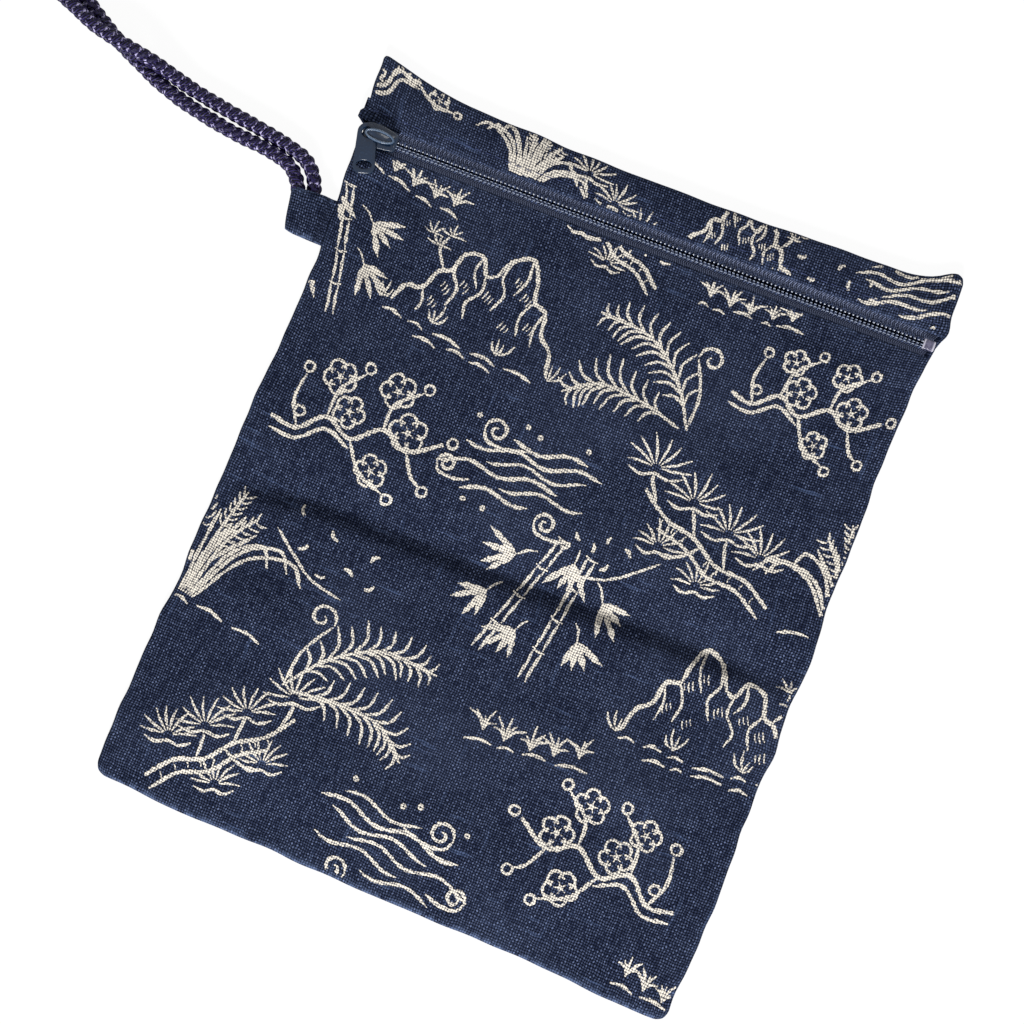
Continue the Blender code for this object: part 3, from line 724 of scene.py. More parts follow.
@dataclass
class PouchForm:
    """The shape of the filled-out, flat-lying pouch: its outline in plan and its faces' heights."""

    width: float = 0.177
    height: float = 0.222
    corner: float = 0.004
    tip_corner: float = 0.0018
    lobe_corner: float = 0.0026
    frame_shift: tuple[float, float] = (0.0030745, 0.0016430)
    top_left: tuple[float, float] = (0.0010, 0.0035)
    top_right: tuple[float, float] = (0.0031, 0.0008)
    bottom_right: tuple[float, float] = (-0.0015, -0.0060)
    bottom_left: tuple[float, float] = (-0.0045, 0.0025)
    left_bow: float = 0.0039
    right_bow: float = 0.0020
    bulge: float = 0.0016
    bulge_above: float = 0.0035
    bulge_spread: float = 0.0065
    bulge_power: int = 10
    side_power: float = 1.7
    top_dip: float = 0.0058
    bottom_bow: float = 0.0007
    seam: float = 0.0028
    zip_seam_extra: float = 0.0013
    zip_seam_spread: float = 0.009
    pillow: float = 0.0046
    ramp: float = 0.024
    zip_y: float = 0.0907
    window_half: float = 0.0040
    window_left_wall: float = 0.0008
    window_right_wall: float = 0.0008
    hem_turn: float = 0.0070
    hem_top: float = 0.0041
    hem_bottom: float = 0.00275
    crease_line: tuple[tuple[float, float], ...] = (
        (-0.086, -0.0166), (-0.055, -0.0140), (-0.009, -0.0150), (0.040, -0.0149), (0.087, -0.0158),
    )
    crease_depth: float = 0.0024
    crease_below: float = 0.00210
    crease_above: float = 0.0100
    lip_rise: float = 0.0004
    lip_below: float = 0.0085
    lip_width: float = 0.0050
    free_edge: float = 0.004
    side_wander: float = 0.00022
    end_wander: float = 0.00024
    rumple: float = 0.00022
    rumple_length: float = 0.034
    pucker: float = 0.00022
    pucker_from: float = 0.0032
    pucker_width: float = 0.0022
    pucker_length: float = 0.0085
    folds: tuple[Fold, ...] = ()
    left_bumps: tuple[EdgeBump, ...] = (
        EdgeBump(-0.046, 0.006, -0.0008), EdgeBump(0.008, 0.014, 0.0009), EdgeBump(0.051, 0.005, -0.0006),
        EdgeBump(0.0908, 0.0026, -0.0010), EdgeBump(0.0955, 0.0016, 0.0029),
    )
    right_bumps: tuple[EdgeBump, ...] = (
        EdgeBump(-0.080, 0.024, 0.0009), EdgeBump(-0.035, 0.008, 0.0015), EdgeBump(-0.007, 0.013, 0.0019),
        EdgeBump(0.029, 0.016, 0.0009), EdgeBump(0.0915, 0.0025, -0.0006), EdgeBump(0.0965, 0.0030, 0.0008),
        EdgeBump(0.1050, 0.0050, 0.0012), EdgeBump(-0.1090, 0.0060, -0.0009),
    )
    top_bumps: tuple[EdgeBump, ...] = (
        EdgeBump(-0.060, 0.014, -0.0009), EdgeBump(-0.012, 0.026, -0.0006), EdgeBump(0.050, 0.018, 0.0007),
        EdgeBump(0.0760, 0.0060, -0.0007), EdgeBump(0.0890, 0.0040, 0.0020),
    )
    bottom_bumps: tuple[EdgeBump, ...] = (
        EdgeBump(-0.064, 0.016, 0.0009), EdgeBump(-0.004, 0.034, 0.0007), EdgeBump(0.076, 0.024, 0.0018),
    )

    def rounded(self, s: np.ndarray, t: np.ndarray) -> tuple[np.ndarray, np.ndarray]:
        """Flat-cloth coordinates with the corners drawn in to a round.

        Args:
            s: distances from the left edge of the flat cloth.
            t: distances from its bottom edge.

        Returns:
            Both coordinates, moved inwards near the corners.
        """
        a = np.minimum(s, self.width - s)
        b = np.minimum(t, self.height - t)
        top_corner = np.where(s < self.width / 2, self.tip_corner, self.lobe_corner)
        corner = np.where(t > self.height / 2, top_corner, self.corner)
        p = np.clip(1 - a / corner, 0, 1)
        q = np.clip(1 - b / corner, 0, 1)
        inside = (p > 0) & (q > 0)
        in_x = corner * (1 - p * np.sqrt(1 - q * q / 2))
        in_y = corner * (1 - q * np.sqrt(1 - p * p / 2))
        new_s = np.where(s < self.width / 2, in_x, self.width - in_x)
        new_t = np.where(t < self.height / 2, in_y, self.height - in_y)
        return np.where(inside, new_s, s), np.where(inside, new_t, t)

    def plan(self, s: np.ndarray, t: np.ndarray) -> tuple[np.ndarray, np.ndarray]:
        """Where points of the flat cloth lie in plan.

        Args:
            s: distances from the left edge of the flat cloth.
            t: distances from its bottom edge.

        Returns:
            Both plan coordinates.
        """
        s, t = self.rounded(np.asarray(s, float), np.asarray(t, float))
        u, v = s / self.width, t / self.height
        x, y = s - self.width / 2, t - self.height / 2
        shares = (
            (self.bottom_left, (1 - u) * (1 - v)),
            (self.bottom_right, u * (1 - v)),
            (self.top_left, (1 - u) * v),
            (self.top_right, u * v),
        )
        for (shift_x, shift_y), share in shares:
            x = x + shift_x * share
            y = y + shift_y * share
        side = np.sin(math.pi * v**self.side_power)
        x = x + side * (self.left_bow * (1 - u) - self.right_bow * u)
        y = y - v * v * self.top_dip * (1 - np.abs(2 * u - 1) ** 4)
        y = y - (1 - v) * self.bottom_bow * np.sin(math.pi * u)
        at_zip = bell(y - self.zip_y - self.bulge_above, self.bulge_spread)
        return x + self.bulge * u**self.bulge_power * at_zip, y

    def edge_shape(self, s: np.ndarray, t: np.ndarray) -> tuple[np.ndarray, np.ndarray]:
        """Small bumps of the outline: a knob of cloth at each end of the zip, and the seams' unevenness.

        Args:
            s: distances from the left edge of the flat cloth.
            t: distances from its bottom edge.

        Returns:
            Both plan coordinates.
        """
        x, y = self.plan(s, t)
        for side, bumps, inward in ((-1, self.left_bumps, s), (1, self.right_bumps, self.width - s)):
            for bump in bumps:
                x = x + side * bump.push(y, inward)
            x = x + bell(inward, 0.0045) * self.side_wander * waves(y, y * 0, 0.011, 5)
        for side, bumps, inward in ((-1, self.bottom_bumps, t), (1, self.top_bumps, self.height - t)):
            for bump in bumps:
                y = y + side * bump.push(x, inward)
            y = y + bell(inward, 0.006) * self.end_wander * waves(x, x * 0, 0.012, 8)
        return x, y

    def seam_thick(self, y: np.ndarray) -> np.ndarray:
        """Thickness of the side seams, which grow where they catch the zip."""
        return self.seam + self.zip_seam_extra * bell(y - self.zip_y, self.zip_seam_spread)

    def front_height(self, x: np.ndarray, y: np.ndarray, inward: np.ndarray) -> np.ndarray:
        """Height of the front's outer face.

        Args:
            x: plan coordinates.
            y: plan coordinates.
            inward: distances from the nearest edge.

        Returns:
            The heights.
        """
        thick = self.seam_thick(y)
        radius = thick / 2
        rim = radius + np.sqrt(np.maximum(radius**2 - np.maximum(radius - inward, 0) ** 2, 0))
        rise = smooth((inward - radius) / self.ramp)
        height = rim + (self.pillow - thick) * rise
        free = smooth((inward - radius) / self.free_edge)
        from_crease = y - np.interp(x, *zip(*self.crease_line))
        width = np.where(from_crease < 0, self.crease_below, self.crease_above)
        height -= (0.45 * free + 0.55 * rise) * self.crease_depth * bell(from_crease, width)
        height += rise * self.lip_rise * bell(from_crease + self.lip_below, self.lip_width)
        for fold in self.folds:
            height = height + free * fold.height(x, y)
        height = height + free * self.rumple * waves(x, y, self.rumple_length, 3)
        pucker = bell(inward - self.pucker_from, self.pucker_width) * self.pucker
        height = height + pucker * waves(x, y, self.pucker_length, 4)
        flat_half = self.window_half + self.hem_turn / 2
        near_zip = bell(np.maximum(np.abs(y - self.zip_y) - flat_half, 0), self.hem_turn)
        level = np.maximum(self.hem_top, thick) - thick + rim
        return height + (level - height) * near_zip

    def back_height(self, y: np.ndarray, inward: np.ndarray) -> np.ndarray:
        """Height of the back's outer face, which rounds up to the seam."""
        radius = self.seam_thick(y) / 2
        return radius - np.sqrt(np.maximum(radius**2 - np.maximum(radius - inward, 0) ** 2, 0))

    def points(self, s: np.ndarray, t: np.ndarray, face: Face) -> np.ndarray:
        """World points of the cloth's outer face.

        Args:
            s: distances from the left edge of the flat cloth.
            t: distances from its bottom edge.
            face: front or back.

        Returns:
            An array with a last axis of three.
        """
        s, t = np.asarray(s, float), np.asarray(t, float)
        inward = np.minimum(np.minimum(s, self.width - s), np.minimum(t, self.height - t))
        x, y = self.edge_shape(s, t)
        if face is Face.FRONT:
            z = self.front_height(x, y, inward)
        else:
            z = self.back_height(y, inward)
        return np.stack([x + self.frame_shift[0], y + self.frame_shift[1], z], axis=-1)

    def t_at(self, s: np.ndarray, y: float) -> np.ndarray:
        """How far up the flat cloth the plan's line y lies, for each s.

        Args:
            s: distances from the left edge of the flat cloth.
            y: the line's place in plan.

        Returns:
            Distances from the bottom edge.
        """
        low, high = np.zeros_like(s), np.full_like(s, self.height)
        for _ in range(40):
            middle = (low + high) / 2
            below = self.plan(s, middle)[1] < y
            low, high = np.where(below, middle, low), np.where(below, high, middle)
        return (low + high) / 2


class MeshParts:
    """Collects grids of points with their map and their pale-rim mask (fading, and a painted highlight at the
    bottom fold), and joins them into one mesh.
    """

    def __init__(self) -> None:
        """Starts with nothing."""
        self.points: list[np.ndarray] = []
        self.maps: list[np.ndarray] = []
        self.wear_and_highlight: list[np.ndarray] = []
        self.faces: list[tuple[int, ...]] = []
        self.count = 0

    def grid(self, points: np.ndarray, flat: np.ndarray, wear_and_highlight: np.ndarray | None = None,
             keep: np.ndarray | None = None, flip: bool = False) -> None:
        """Adds a grid of rows and columns.

        Args:
            points: rows by columns by three.
            flat: the cloth's own coordinates at each point.
            wear_and_highlight: how pale the cloth's rims are there, from fading and from a painted highlight,
                from 0 to 1.
            keep: which cells to make, rows less one by columns less one.
            flip: turns the faces round.
        """
        rows, columns = points.shape[:2]
        index = self.count + np.arange(rows * columns).reshape(rows, columns)
        cells = np.stack([index[:-1, :-1], index[:-1, 1:], index[1:, 1:], index[1:, :-1]], axis=-1)
        if flip:
            cells = cells[..., ::-1]
        cells = cells[keep] if keep is not None else cells.reshape(-1, 4)
        self.points.append(points.reshape(-1, 3))
        self.maps.append(flat.reshape(-1, 2))
        self.wear_and_highlight.append(np.broadcast_to(0.0 if wear_and_highlight is None else wear_and_highlight, (rows, columns)).ravel())
        self.faces += [tuple(int(i) for i in cell) for cell in cells]
        self.count += rows * columns

    def mesh(self, name: str, material: bpy.types.Material, merge: float = 1e-6) -> bpy.types.Mesh:
        """The finished mesh, with its doubles merged where a merge distance is given.

        Args:
            name: the mesh's name.
            material: what it is made of.
            merge: how near doubles lie; 0 keeps them.

        Returns:
            The mesh, shaded smooth.
        """
        made = bpy.data.meshes.new(name)
        made.from_pydata(np.concatenate(self.points).tolist(), [], self.faces)
        flat = np.concatenate(self.maps)
        wear_and_highlight = made.attributes.new("wear_and_highlight", "FLOAT", "POINT")
        wear_and_highlight.data.foreach_set("value", np.concatenate(self.wear_and_highlight).astype(np.float32))
        layer = made.uv_layers.new(name="cloth")
        corner = np.empty(len(made.loops), dtype=np.int64)
        made.loops.foreach_get("vertex_index", corner)
        layer.data.foreach_set("uv", flat[corner].astype(np.float32).ravel())
        made.materials.append(material)
        bm = bmesh.new()
        bm.from_mesh(made)
        loose = [v for v in bm.verts if not v.link_faces]
        bmesh.ops.delete(bm, geom=loose, context="VERTS")
        if merge:
            bmesh.ops.remove_doubles(bm, verts=bm.verts, dist=merge)
        bm.to_mesh(made)
        bm.free()
        made.shade_smooth()
        return made


@dataclass
class OuterCloth:
    """The one cut of cloth that makes the front, the back and the band above the zip."""

    form: PouchForm
    cotton: WovenCotton
    flat_size: tuple[float, float] = (0.192, 0.450)
    rim_steps: tuple[float, ...] = (0, 0.2, 0.5, 0.9, 1.3, 1.7, 2.3, 3.1, 4.1, 5.3, 6.8)
    step: float = 0.0018
    band_step: float = 0.00108
    seam_wear: float = 0.16
    seam_wear_width: float = 0.0011
    # The bottom fold is paler: partly fading, partly a painted highlight on its lit edge.
    fold_wear_and_highlight: float = 0.36
    fold_wear_and_highlight_width: float = 0.0016
    hem_run: tuple[float, ...] = (0.0015, 0.0035, 0.0060)
    hem_wear: tuple[float, ...] = (0.16, 0.18, 0.14, 0.10, 0.06, 0.03, 0.01)
    end_foot: float = 0.0026
    end_roll: tuple[float, float] = (0.00015, 0.0002)
    left_slope: float = 0.0002
    right_slope: float = 0.0012

    def columns(self) -> np.ndarray:
        """Distances across the cloth, close together at the seams.

        Returns:
            The distances, in order.
        """
        form = self.form
        rim = np.array(self.rim_steps) * MM
        count = round((form.width - 2 * rim[-1]) / self.step)
        middle = np.linspace(rim[-1], form.width - rim[-1], count + 1)
        walls = [form.window_left_wall, form.width - form.window_right_wall]
        every = np.concatenate([rim, form.width - rim, middle, walls])
        return np.unique(np.round(every, 7))

    def build(self) -> bpy.types.Object:
        """Lays out front, back, band and hems, and joins them.

        Returns:
            The cloth.
        """
        form = self.form
        columns = self.columns()
        rim = np.array(self.rim_steps) * MM
        level = 0 * columns
        lower = form.t_at(columns, form.zip_y - form.window_half)
        upper = form.t_at(columns, form.zip_y + form.window_half)
        count = round((float(lower.mean()) - rim[-1]) / self.step)
        share = np.linspace(0, 1, count + 1)[:, None]
        front_t = np.concatenate([rim[:-1, None] + level, rim[-1] + share * (lower - rim[-1])])
        window_t = lower + np.linspace(0, 1, 5)[:, None] * (upper - lower)
        count = round((form.height - rim[-1] - float(upper.mean())) / self.band_step)
        share = np.linspace(0, 1, count + 1)[:, None]
        top_rim = form.height - rim[::-1][1:, None] + level
        band_t = np.concatenate([upper + share * (form.height - rim[-1] - upper), top_rim])
        parts = MeshParts()
        for rows in (front_t, band_t):
            self.add_face(parts, columns, rows, Face.FRONT)
        left, right = form.window_left_wall, form.width - form.window_right_wall
        centre = (columns[1:] + columns[:-1]) / 2
        ends = np.broadcast_to((centre < left) | (centre > right), (4, len(centre)))
        self.add_face(parts, columns, window_t, Face.FRONT, ends)
        self.add_face(parts, columns, np.concatenate([front_t, window_t[1:-1], band_t]), Face.BACK)
        inside = ~ends[0]
        self.add_hem(parts, columns, lower, -1, inside)
        self.add_hem(parts, columns, upper, 1, inside)
        for side, wall in ((-1, left), (1, right)):
            self.add_window_end(parts, columns, window_t, int(np.argmin(np.abs(columns - wall))), side)
        return place("outer_cloth_sheet", parts.mesh("outer_cloth_sheet", self.cotton.material()))

    def add_face(self, parts: MeshParts, columns: np.ndarray, rows: np.ndarray, face: Face,
                 keep: np.ndarray | None = None) -> None:
        """Adds part of the front or the back.

        Args:
            parts: the mesh under way.
            columns: distances across.
            rows: distances up, rows by columns.
            face: front or back.
            keep: which cells to make.
        """
        form = self.form
        s = np.broadcast_to(columns, rows.shape)
        inward = np.minimum(np.minimum(s, form.width - s), np.minimum(rows, form.height - rows))
        bottom = np.minimum(rows, form.free_edge)
        # Paler seams and bottom fold; at the fold this is partly a painted highlight.
        wear_and_highlight = self.seam_wear * bell(inward, self.seam_wear_width)
        wear_and_highlight = wear_and_highlight + self.fold_wear_and_highlight * bell(bottom, self.fold_wear_and_highlight_width)
        flat = np.stack([s, rows if face is Face.FRONT else -rows], axis=-1)
        parts.grid(form.points(s, rows, face), flat, np.clip(wear_and_highlight, 0, 1), keep, flip=face is Face.BACK)

    def add_hem(self, parts: MeshParts, columns: np.ndarray, edge: np.ndarray, side: int,
                inside: np.ndarray) -> None:
        """Adds the turned edge beside the zip: a tight roll and the layer under it.

        Args:
            parts: the mesh under way.
            columns: distances across.
            edge: where the fold lies, for each column.
            side: -1 below the zip and 1 above it.
            inside: which cells lie in the window.
        """
        form = self.form
        top = form.points(columns, edge, Face.FRONT)
        radius = (form.hem_top - form.hem_bottom) / 2
        turn = [math.pi * k / 8 for k in range(9)]
        steps = [(radius * (1 - math.cos(a)), -radius * math.sin(a)) for a in turn]
        steps += [(2 * radius, back) for back in self.hem_run]
        rows, flat = [], []
        run = 0.0
        before = steps[0]
        for down, back in steps:
            run += math.hypot(down - before[0], back - before[1])
            before = (down, back)
            rows.append(top + (0, side * back, -down))
            flat.append(np.stack([columns, edge - side * run], axis=-1))
        wear_and_highlight = np.zeros((len(rows), 1))
        wear_and_highlight[: len(self.hem_wear), 0] = self.hem_wear
        keep = np.broadcast_to(inside, (len(rows) - 1, len(inside)))
        parts.grid(np.array(rows), np.array(flat), wear_and_highlight, keep, flip=side > 0)

    def add_window_end(self, parts: MeshParts, columns: np.ndarray, rows: np.ndarray, at: int,
                       side: int) -> None:
        """Adds the cloth that turns down at an end of the window.

        Args:
            parts: the mesh under way.
            columns: distances across.
            rows: distances up through the window.
            at: the column at this end.
            side: -1 for the left end and 1 for the right.
        """
        s = np.full(len(rows), columns[at])
        top = self.form.points(s, rows[:, at], Face.FRONT)
        middle, low = top.copy(), top.copy()
        inward, down = self.end_roll
        middle[:, 2] -= down
        middle[:, 0] -= side * inward
        low[:, 2] = self.end_foot
        low[:, 0] -= side * (self.left_slope if side < 0 else self.right_slope)
        grid = np.array([top, middle, low])
        flat = np.broadcast_to(np.stack([s, rows[:, at]], axis=-1), grid.shape[:2] + (2,))
        parts.grid(grid, flat, flip=side < 0)

    def declare(self, made: bpy.types.Object) -> None:
        """Attaches the cloth to the pouch's body and hides its CAD solid.

        Args:
            made: the finished cloth.
        """
        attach(made, "pouch")
        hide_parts("outer_cloth")


def curve_through(points: Sequence[Sequence[float]], spacing: float) -> np.ndarray:
    """Evenly spaced points on a smooth curve.

    Args:
        points: what the curve goes through, in the plane or in space.
        spacing: the distance between the points that come back.

    Returns:
        An array of points, the first and last as given.
    """
    given = np.array(points, float)
    given = np.vstack([2 * given[0] - given[1], given, 2 * given[-1] - given[-2]])
    dense = []
    for a, b, c, d in zip(given, given[1:], given[2:], given[3:]):
        for t in np.linspace(0, 1, 16, endpoint=False):
            pull = (2 * a - 5 * b + 4 * c - d) * t**2 + (3 * b - a - 3 * c + d) * t**3
            dense.append(0.5 * (2 * b + (c - a) * t + pull))
    dense = np.array([*dense, given[-2]])
    run = np.concatenate([[0], np.cumsum(np.linalg.norm(np.diff(dense, axis=0), axis=1))])
    count = max(int(round(run[-1] / spacing)), 2)
    at = np.linspace(0, run[-1], count + 1)
    return np.column_stack([np.interp(at, run, dense[:, k]) for k in range(dense.shape[1])])


@dataclass
class Stroke:
    """One brush line of the print, in millimetres."""

    points: Sequence[Sequence[float]]
    width: float = 1.05
    taper: float = 0.45

    def turned(self, scale: float, angle: float, mirror: bool, at: tuple[float, float]) -> "Stroke":
        """The line scaled, mirrored, turned and moved.

        Args:
            scale: how much larger it gets.
            angle: the turn, in radians.
            mirror: whether left and right change places.
            at: where its origin goes, in millimetres.

        Returns:
            The new line.
        """
        points = np.array(self.points, float) * scale
        if mirror:
            points[:, 0] *= -1
        c, s = math.cos(angle), math.sin(angle)
        points = points @ np.array([[c, s], [-s, c]]) + at
        return Stroke(points, self.width, self.taper)


class Motif(Enum):
    """The plants, stones and water that the print is made of."""

    PINE = "pine"
    PLUM = "plum"
    REEDS = "reeds"
    ROCKS = "rocks"
    STREAM = "stream"
    FERN = "fern"
    BAMBOO = "bamboo"
    PETALS = "petals"
    GRASS = "grass"


class Brush:
    """Draws the print's motifs as brush lines, each about 40 mm across."""

    def __init__(self, seed: int) -> None:
        """Fixes the hand's unevenness."""
        self.rng = np.random.default_rng(seed)

    def vary(self, value: float, share: float = 0.15) -> float:
        """A value with the hand's unevenness."""
        return value * (1 + self.rng.uniform(-share, share))

    def draw(self, motif: Motif) -> list[Stroke]:
        """The lines of one motif."""
        return getattr(self, motif.value)()

    def ray(self, x: float, y: float, angle: float, length: float, bend: float = 0.0,
            width: float = 0.9) -> Stroke:
        """A short line from a point, bent to one side.

        Args:
            x: where it starts.
            y: where it starts.
            angle: its direction, in radians.
            length: its length.
            bend: how far its middle is pushed to the left.
            width: its width.

        Returns:
            The line.
        """
        tip = (x + length * math.cos(angle), y + length * math.sin(angle))
        middle = ((x + tip[0]) / 2 - bend * math.sin(angle), (y + tip[1]) / 2 + bend * math.cos(angle))
        return Stroke([(x, y), middle, tip], width)

    def ring(self, x: float, y: float, radius: float, start: float = 0.0, sweep: float = 6.5,
             width: float = 0.9) -> Stroke:
        """An arc round a point, a little more than a circle unless a sweep is given.

        Args:
            x: the centre's x.
            y: the centre's y.
            radius: its radius.
            start: its first angle.
            sweep: how far it goes round, in radians.
            width: its width.

        Returns:
            The line.
        """
        angles = np.linspace(start, start + sweep, 9)
        wobble = [self.vary(radius, 0.06) for _ in angles]
        points = [(x + r * math.cos(a), y + r * math.sin(a)) for r, a in zip(wobble, angles)]
        return Stroke(points, width, 0.75)

    def curl(self, x: float, y: float, radius: float, fade: float, sweep: float, width: float) -> Stroke:
        """A spiral that closes in on a point.

        Args:
            x: the centre's x.
            y: the centre's y.
            radius: its radius at the start.
            fade: the angle at which it would reach the centre.
            sweep: how far it goes round, in radians.
            width: its width.

        Returns:
            The line.
        """
        turns = np.linspace(0, sweep, round(2 * sweep))
        inward = [(a, radius * (1 - a / fade)) for a in turns]
        return Stroke([(x + r * math.cos(a), y + r * math.sin(a)) for a, r in inward], width)

    def ground(self, half: float, y: float) -> list[Stroke]:
        """Broken lines of the ground under a motif.

        Args:
            half: half of its length.
            y: its height.

        Returns:
            The lines.
        """
        made = []
        x = -half
        while x < half:
            length = self.rng.uniform(3, 9)
            rise = self.rng.uniform(-0.7, 0.7)
            points = [(x, y + rise), (x + length / 2, y + rise + 0.6), (x + length, y + rise - 0.2)]
            made.append(Stroke(points, 0.95))
            x += length + self.rng.uniform(1.2, 3.0)
        return made

    def pine(self) -> list[Stroke]:
        """A leaning branch with fans of needles.

        Returns:
            The lines.
        """
        spine = [(-17, -12), (-11, -7.5), (-4, -6), (2, -1.5), (9, 1), (15, 6)]
        made = [Stroke(spine, 1.2, 0.8), Stroke([(x + 1.4, y - 2.6) for x, y in spine[:5]], 1.05)]
        for k in range(9):
            x = -14.5 + 2.9 * k
            y = np.interp(x, [p[0] for p in spine], [p[1] for p in spine])
            made.append(self.ray(x + 0.8, y - 0.4, -1.2, self.vary(1.3), 0.2, 0.7))
        fans = ((-13, -2, 5.4), (-5, 1.5, 6.0), (4, 6, 5.8), (14, 11, 6.2), (9, -5, 4.8), (-1, -11, 4.6))
        for x, y, size in fans:
            for k in range(8):
                angle = math.radians(2 + 25 * k) + self.rng.uniform(-0.07, 0.07)
                base = (x + 1.1 * math.cos(angle), y + 0.8 * math.sin(angle))
                made.append(self.ray(*base, angle, self.vary(size, 0.12), 0.25, 0.72))
            under = ((-1, 1.2), (-0.5, 2.1), (0, 1.4), (0.5, 2.2), (1, 1.1))
            made.append(Stroke([(x + k * size, y - down) for k, down in under], 0.85))
        made += [Stroke([(-6, -6.4), (-5, -2), (-5, 0)], 1.0), Stroke([(2, -1.5), (3, 2), (4, 5)], 1.0)]
        made += [Stroke([(12, 4), (14, 8), (14, 10)], 1.0), Stroke([(0, -3), (4, -6), (8, -6.5)], 0.95)]
        return made

    def blossom(self, x: float, y: float, size: float) -> list[Stroke]:
        """A round flower with five petals and its stamens.

        Args:
            x: the centre's x.
            y: the centre's y.
            size: its radius.

        Returns:
            The lines.
        """
        turn = self.rng.uniform(0, 1.2)
        made = []
        for k in range(5):
            angle = turn + k * 2 * math.pi / 5
            cx, cy = x + size * 0.62 * math.cos(angle), y + size * 0.62 * math.sin(angle)
            made.append(self.ring(cx, cy, size * 0.5, angle - 2.1, 4.2, 0.8))
            made.append(self.ray(x, y, angle + 0.3, size * 0.42, 0, 0.55))
        made.append(self.ring(x, y, size * 0.13, 0, 6.3, 0.7))
        return made

    def plum(self) -> list[Stroke]:
        """A crooked branch with blossoms and buds.

        Returns:
            The lines.
        """
        spine = [(-18, -10), (-12, -9), (-8, -3), (-1, -4), (4, 2), (11, 1), (17, 7)]
        made = [Stroke(spine, 1.25, 0.8), Stroke([(-17, -12.4), (-11, -11), (-6.6, -5.4), (0, -6)], 1.05)]
        twigs = (
            ((-8, -3), (-9, 4), (-6, 10)), ((4, 2), (3, 8), (7, 14)), ((-1, -4), (5, -9), (12, -10)),
            ((11, 1), (15, -3), (18, -4)), ((-12, -9), (-16, -4), (-17, 2)),
        )
        made += [Stroke(t, 1.0) for t in twigs]
        for x, y, size in ((-4.5, 0.8, 3.4), (9, 4.6, 3.7), (7, -7.2, 3.2), (-10.5, 6, 3.2), (2, 11, 3.3)):
            made += self.blossom(x, y, self.vary(size, 0.1))
        buds = ((-6, 11.5), (7.6, 15.3), (13.4, -10.4), (18.6, 8.4), (-17.4, 3.6), (19, -4.4), (-13.5, -5.5))
        return made + [self.ring(x, y, 1.15, self.rng.uniform(0, 6), 6.4, 0.8) for x, y in buds]

    def reeds(self) -> list[Stroke]:
        """A clump of long blades with seed heads.

        Returns:
            The lines.
        """
        made = []
        for k in range(13):
            lean = -1.0 + k / 6
            x = lean * 4
            length = self.vary(24 - 7 * abs(lean), 0.12)
            tip = (x + lean * 17 + self.rng.uniform(-1, 1), -13 + length)
            blade = [(x, -13), (x + lean * 4, -13 + length * 0.5), tip]
            if abs(lean) > 0.6:
                bent = (tip[0] + lean * 5, tip[1] - 4)
                blade = [(x, -13), (x + lean * 7, -13 + length * 0.75), tip, bent]
            made.append(Stroke(blade, 1.0))
        for x, y, lean in ((-5, 12, -0.45), (3.5, 14, 0.2), (9, 10, 0.7)):
            for k in range(6):
                base = (x - lean * k * 1.7, y - k * 1.7)
                for side in (-1, 1):
                    made.append(self.ray(*base, math.pi / 2 - lean + side * 0.75, 2.7, side * 0.3, 0.85))
            made.append(Stroke([(x, y + 1.5), (x - lean * 6, y - 7), (x * 0.25, -12)], 0.95))
        return made + self.ground(17, -14.5)

    def rocks(self) -> list[Stroke]:
        """A steep island of weathered stone, with cracks, grass and a small pine on it.

        Returns:
            The lines.
        """
        outline = [
            (-21, -9), (-19, -4), (-15, -2.5), (-13, 3), (-10, 5), (-8.5, 10), (-4, 11.5), (-1.5, 7.5),
            (1, 8.5), (3.5, 14), (8, 16.5), (11, 12), (12.5, 7), (16, 5.5), (17.5, 0), (21, -3), (23, -9),
        ]
        made = [Stroke(outline[:9], 1.2, 0.6), Stroke(outline[8:], 1.25, 0.6)]
        cracks = (
            ((-8.5, 10), (-9.5, 5), (-7, 1), (-8, -4)), ((-4, 11.5), (-4.5, 7), (-2.5, 3.5)),
            ((-1.5, 7.5), (-1, 3), (-3.5, -1), (-2.5, -5)), ((3.5, 14), (2.6, 9), (4.6, 5), (3, 0)),
            ((8, 16.5), (8.6, 11), (6.8, 6)), ((12.5, 7), (10.5, 2), (11.6, -3)),
            ((-15, -2.5), (-13.6, -6), (-14.4, -8.6)), ((16, 5.5), (15, 0.6), (16, -4)),
        )
        made += [Stroke(c, self.vary(0.85)) for c in cracks]
        pits = ((-10.4, 1.5), (-6, 4), (0.6, 4.2), (6.4, 10.8), (9.6, 8), (13.2, 1.4), (-12, -3.4), (7.2, -1))
        for x, y in pits:
            for k in range(3):
                made.append(self.ray(x + 0.9 * k, y - 0.5 * k, -1.9, self.vary(2.1, 0.25), 0.15, 0.62))
        made.append(Stroke([(-12, 4), (-15, 8.4), (-14, 12)], 0.95))
        for x, y in ((-15.6, 8.8), (-13.2, 12.6), (-18, 11)):
            for k in range(5):
                made.append(self.ray(x, y, math.radians(8 + 41 * k), self.vary(3.0, 0.2), 0.2, 0.7))
        for x in (-24, -9, 9, 24):
            for k in range(4):
                angle = math.radians(48 + 26 * k)
                made.append(self.ray(x, -9.6, angle, self.vary(4.4, 0.3), 0.4 * (k - 2), 0.75))
        return made + self.ground(22, -11.5) + self.ground(12, -14.5)

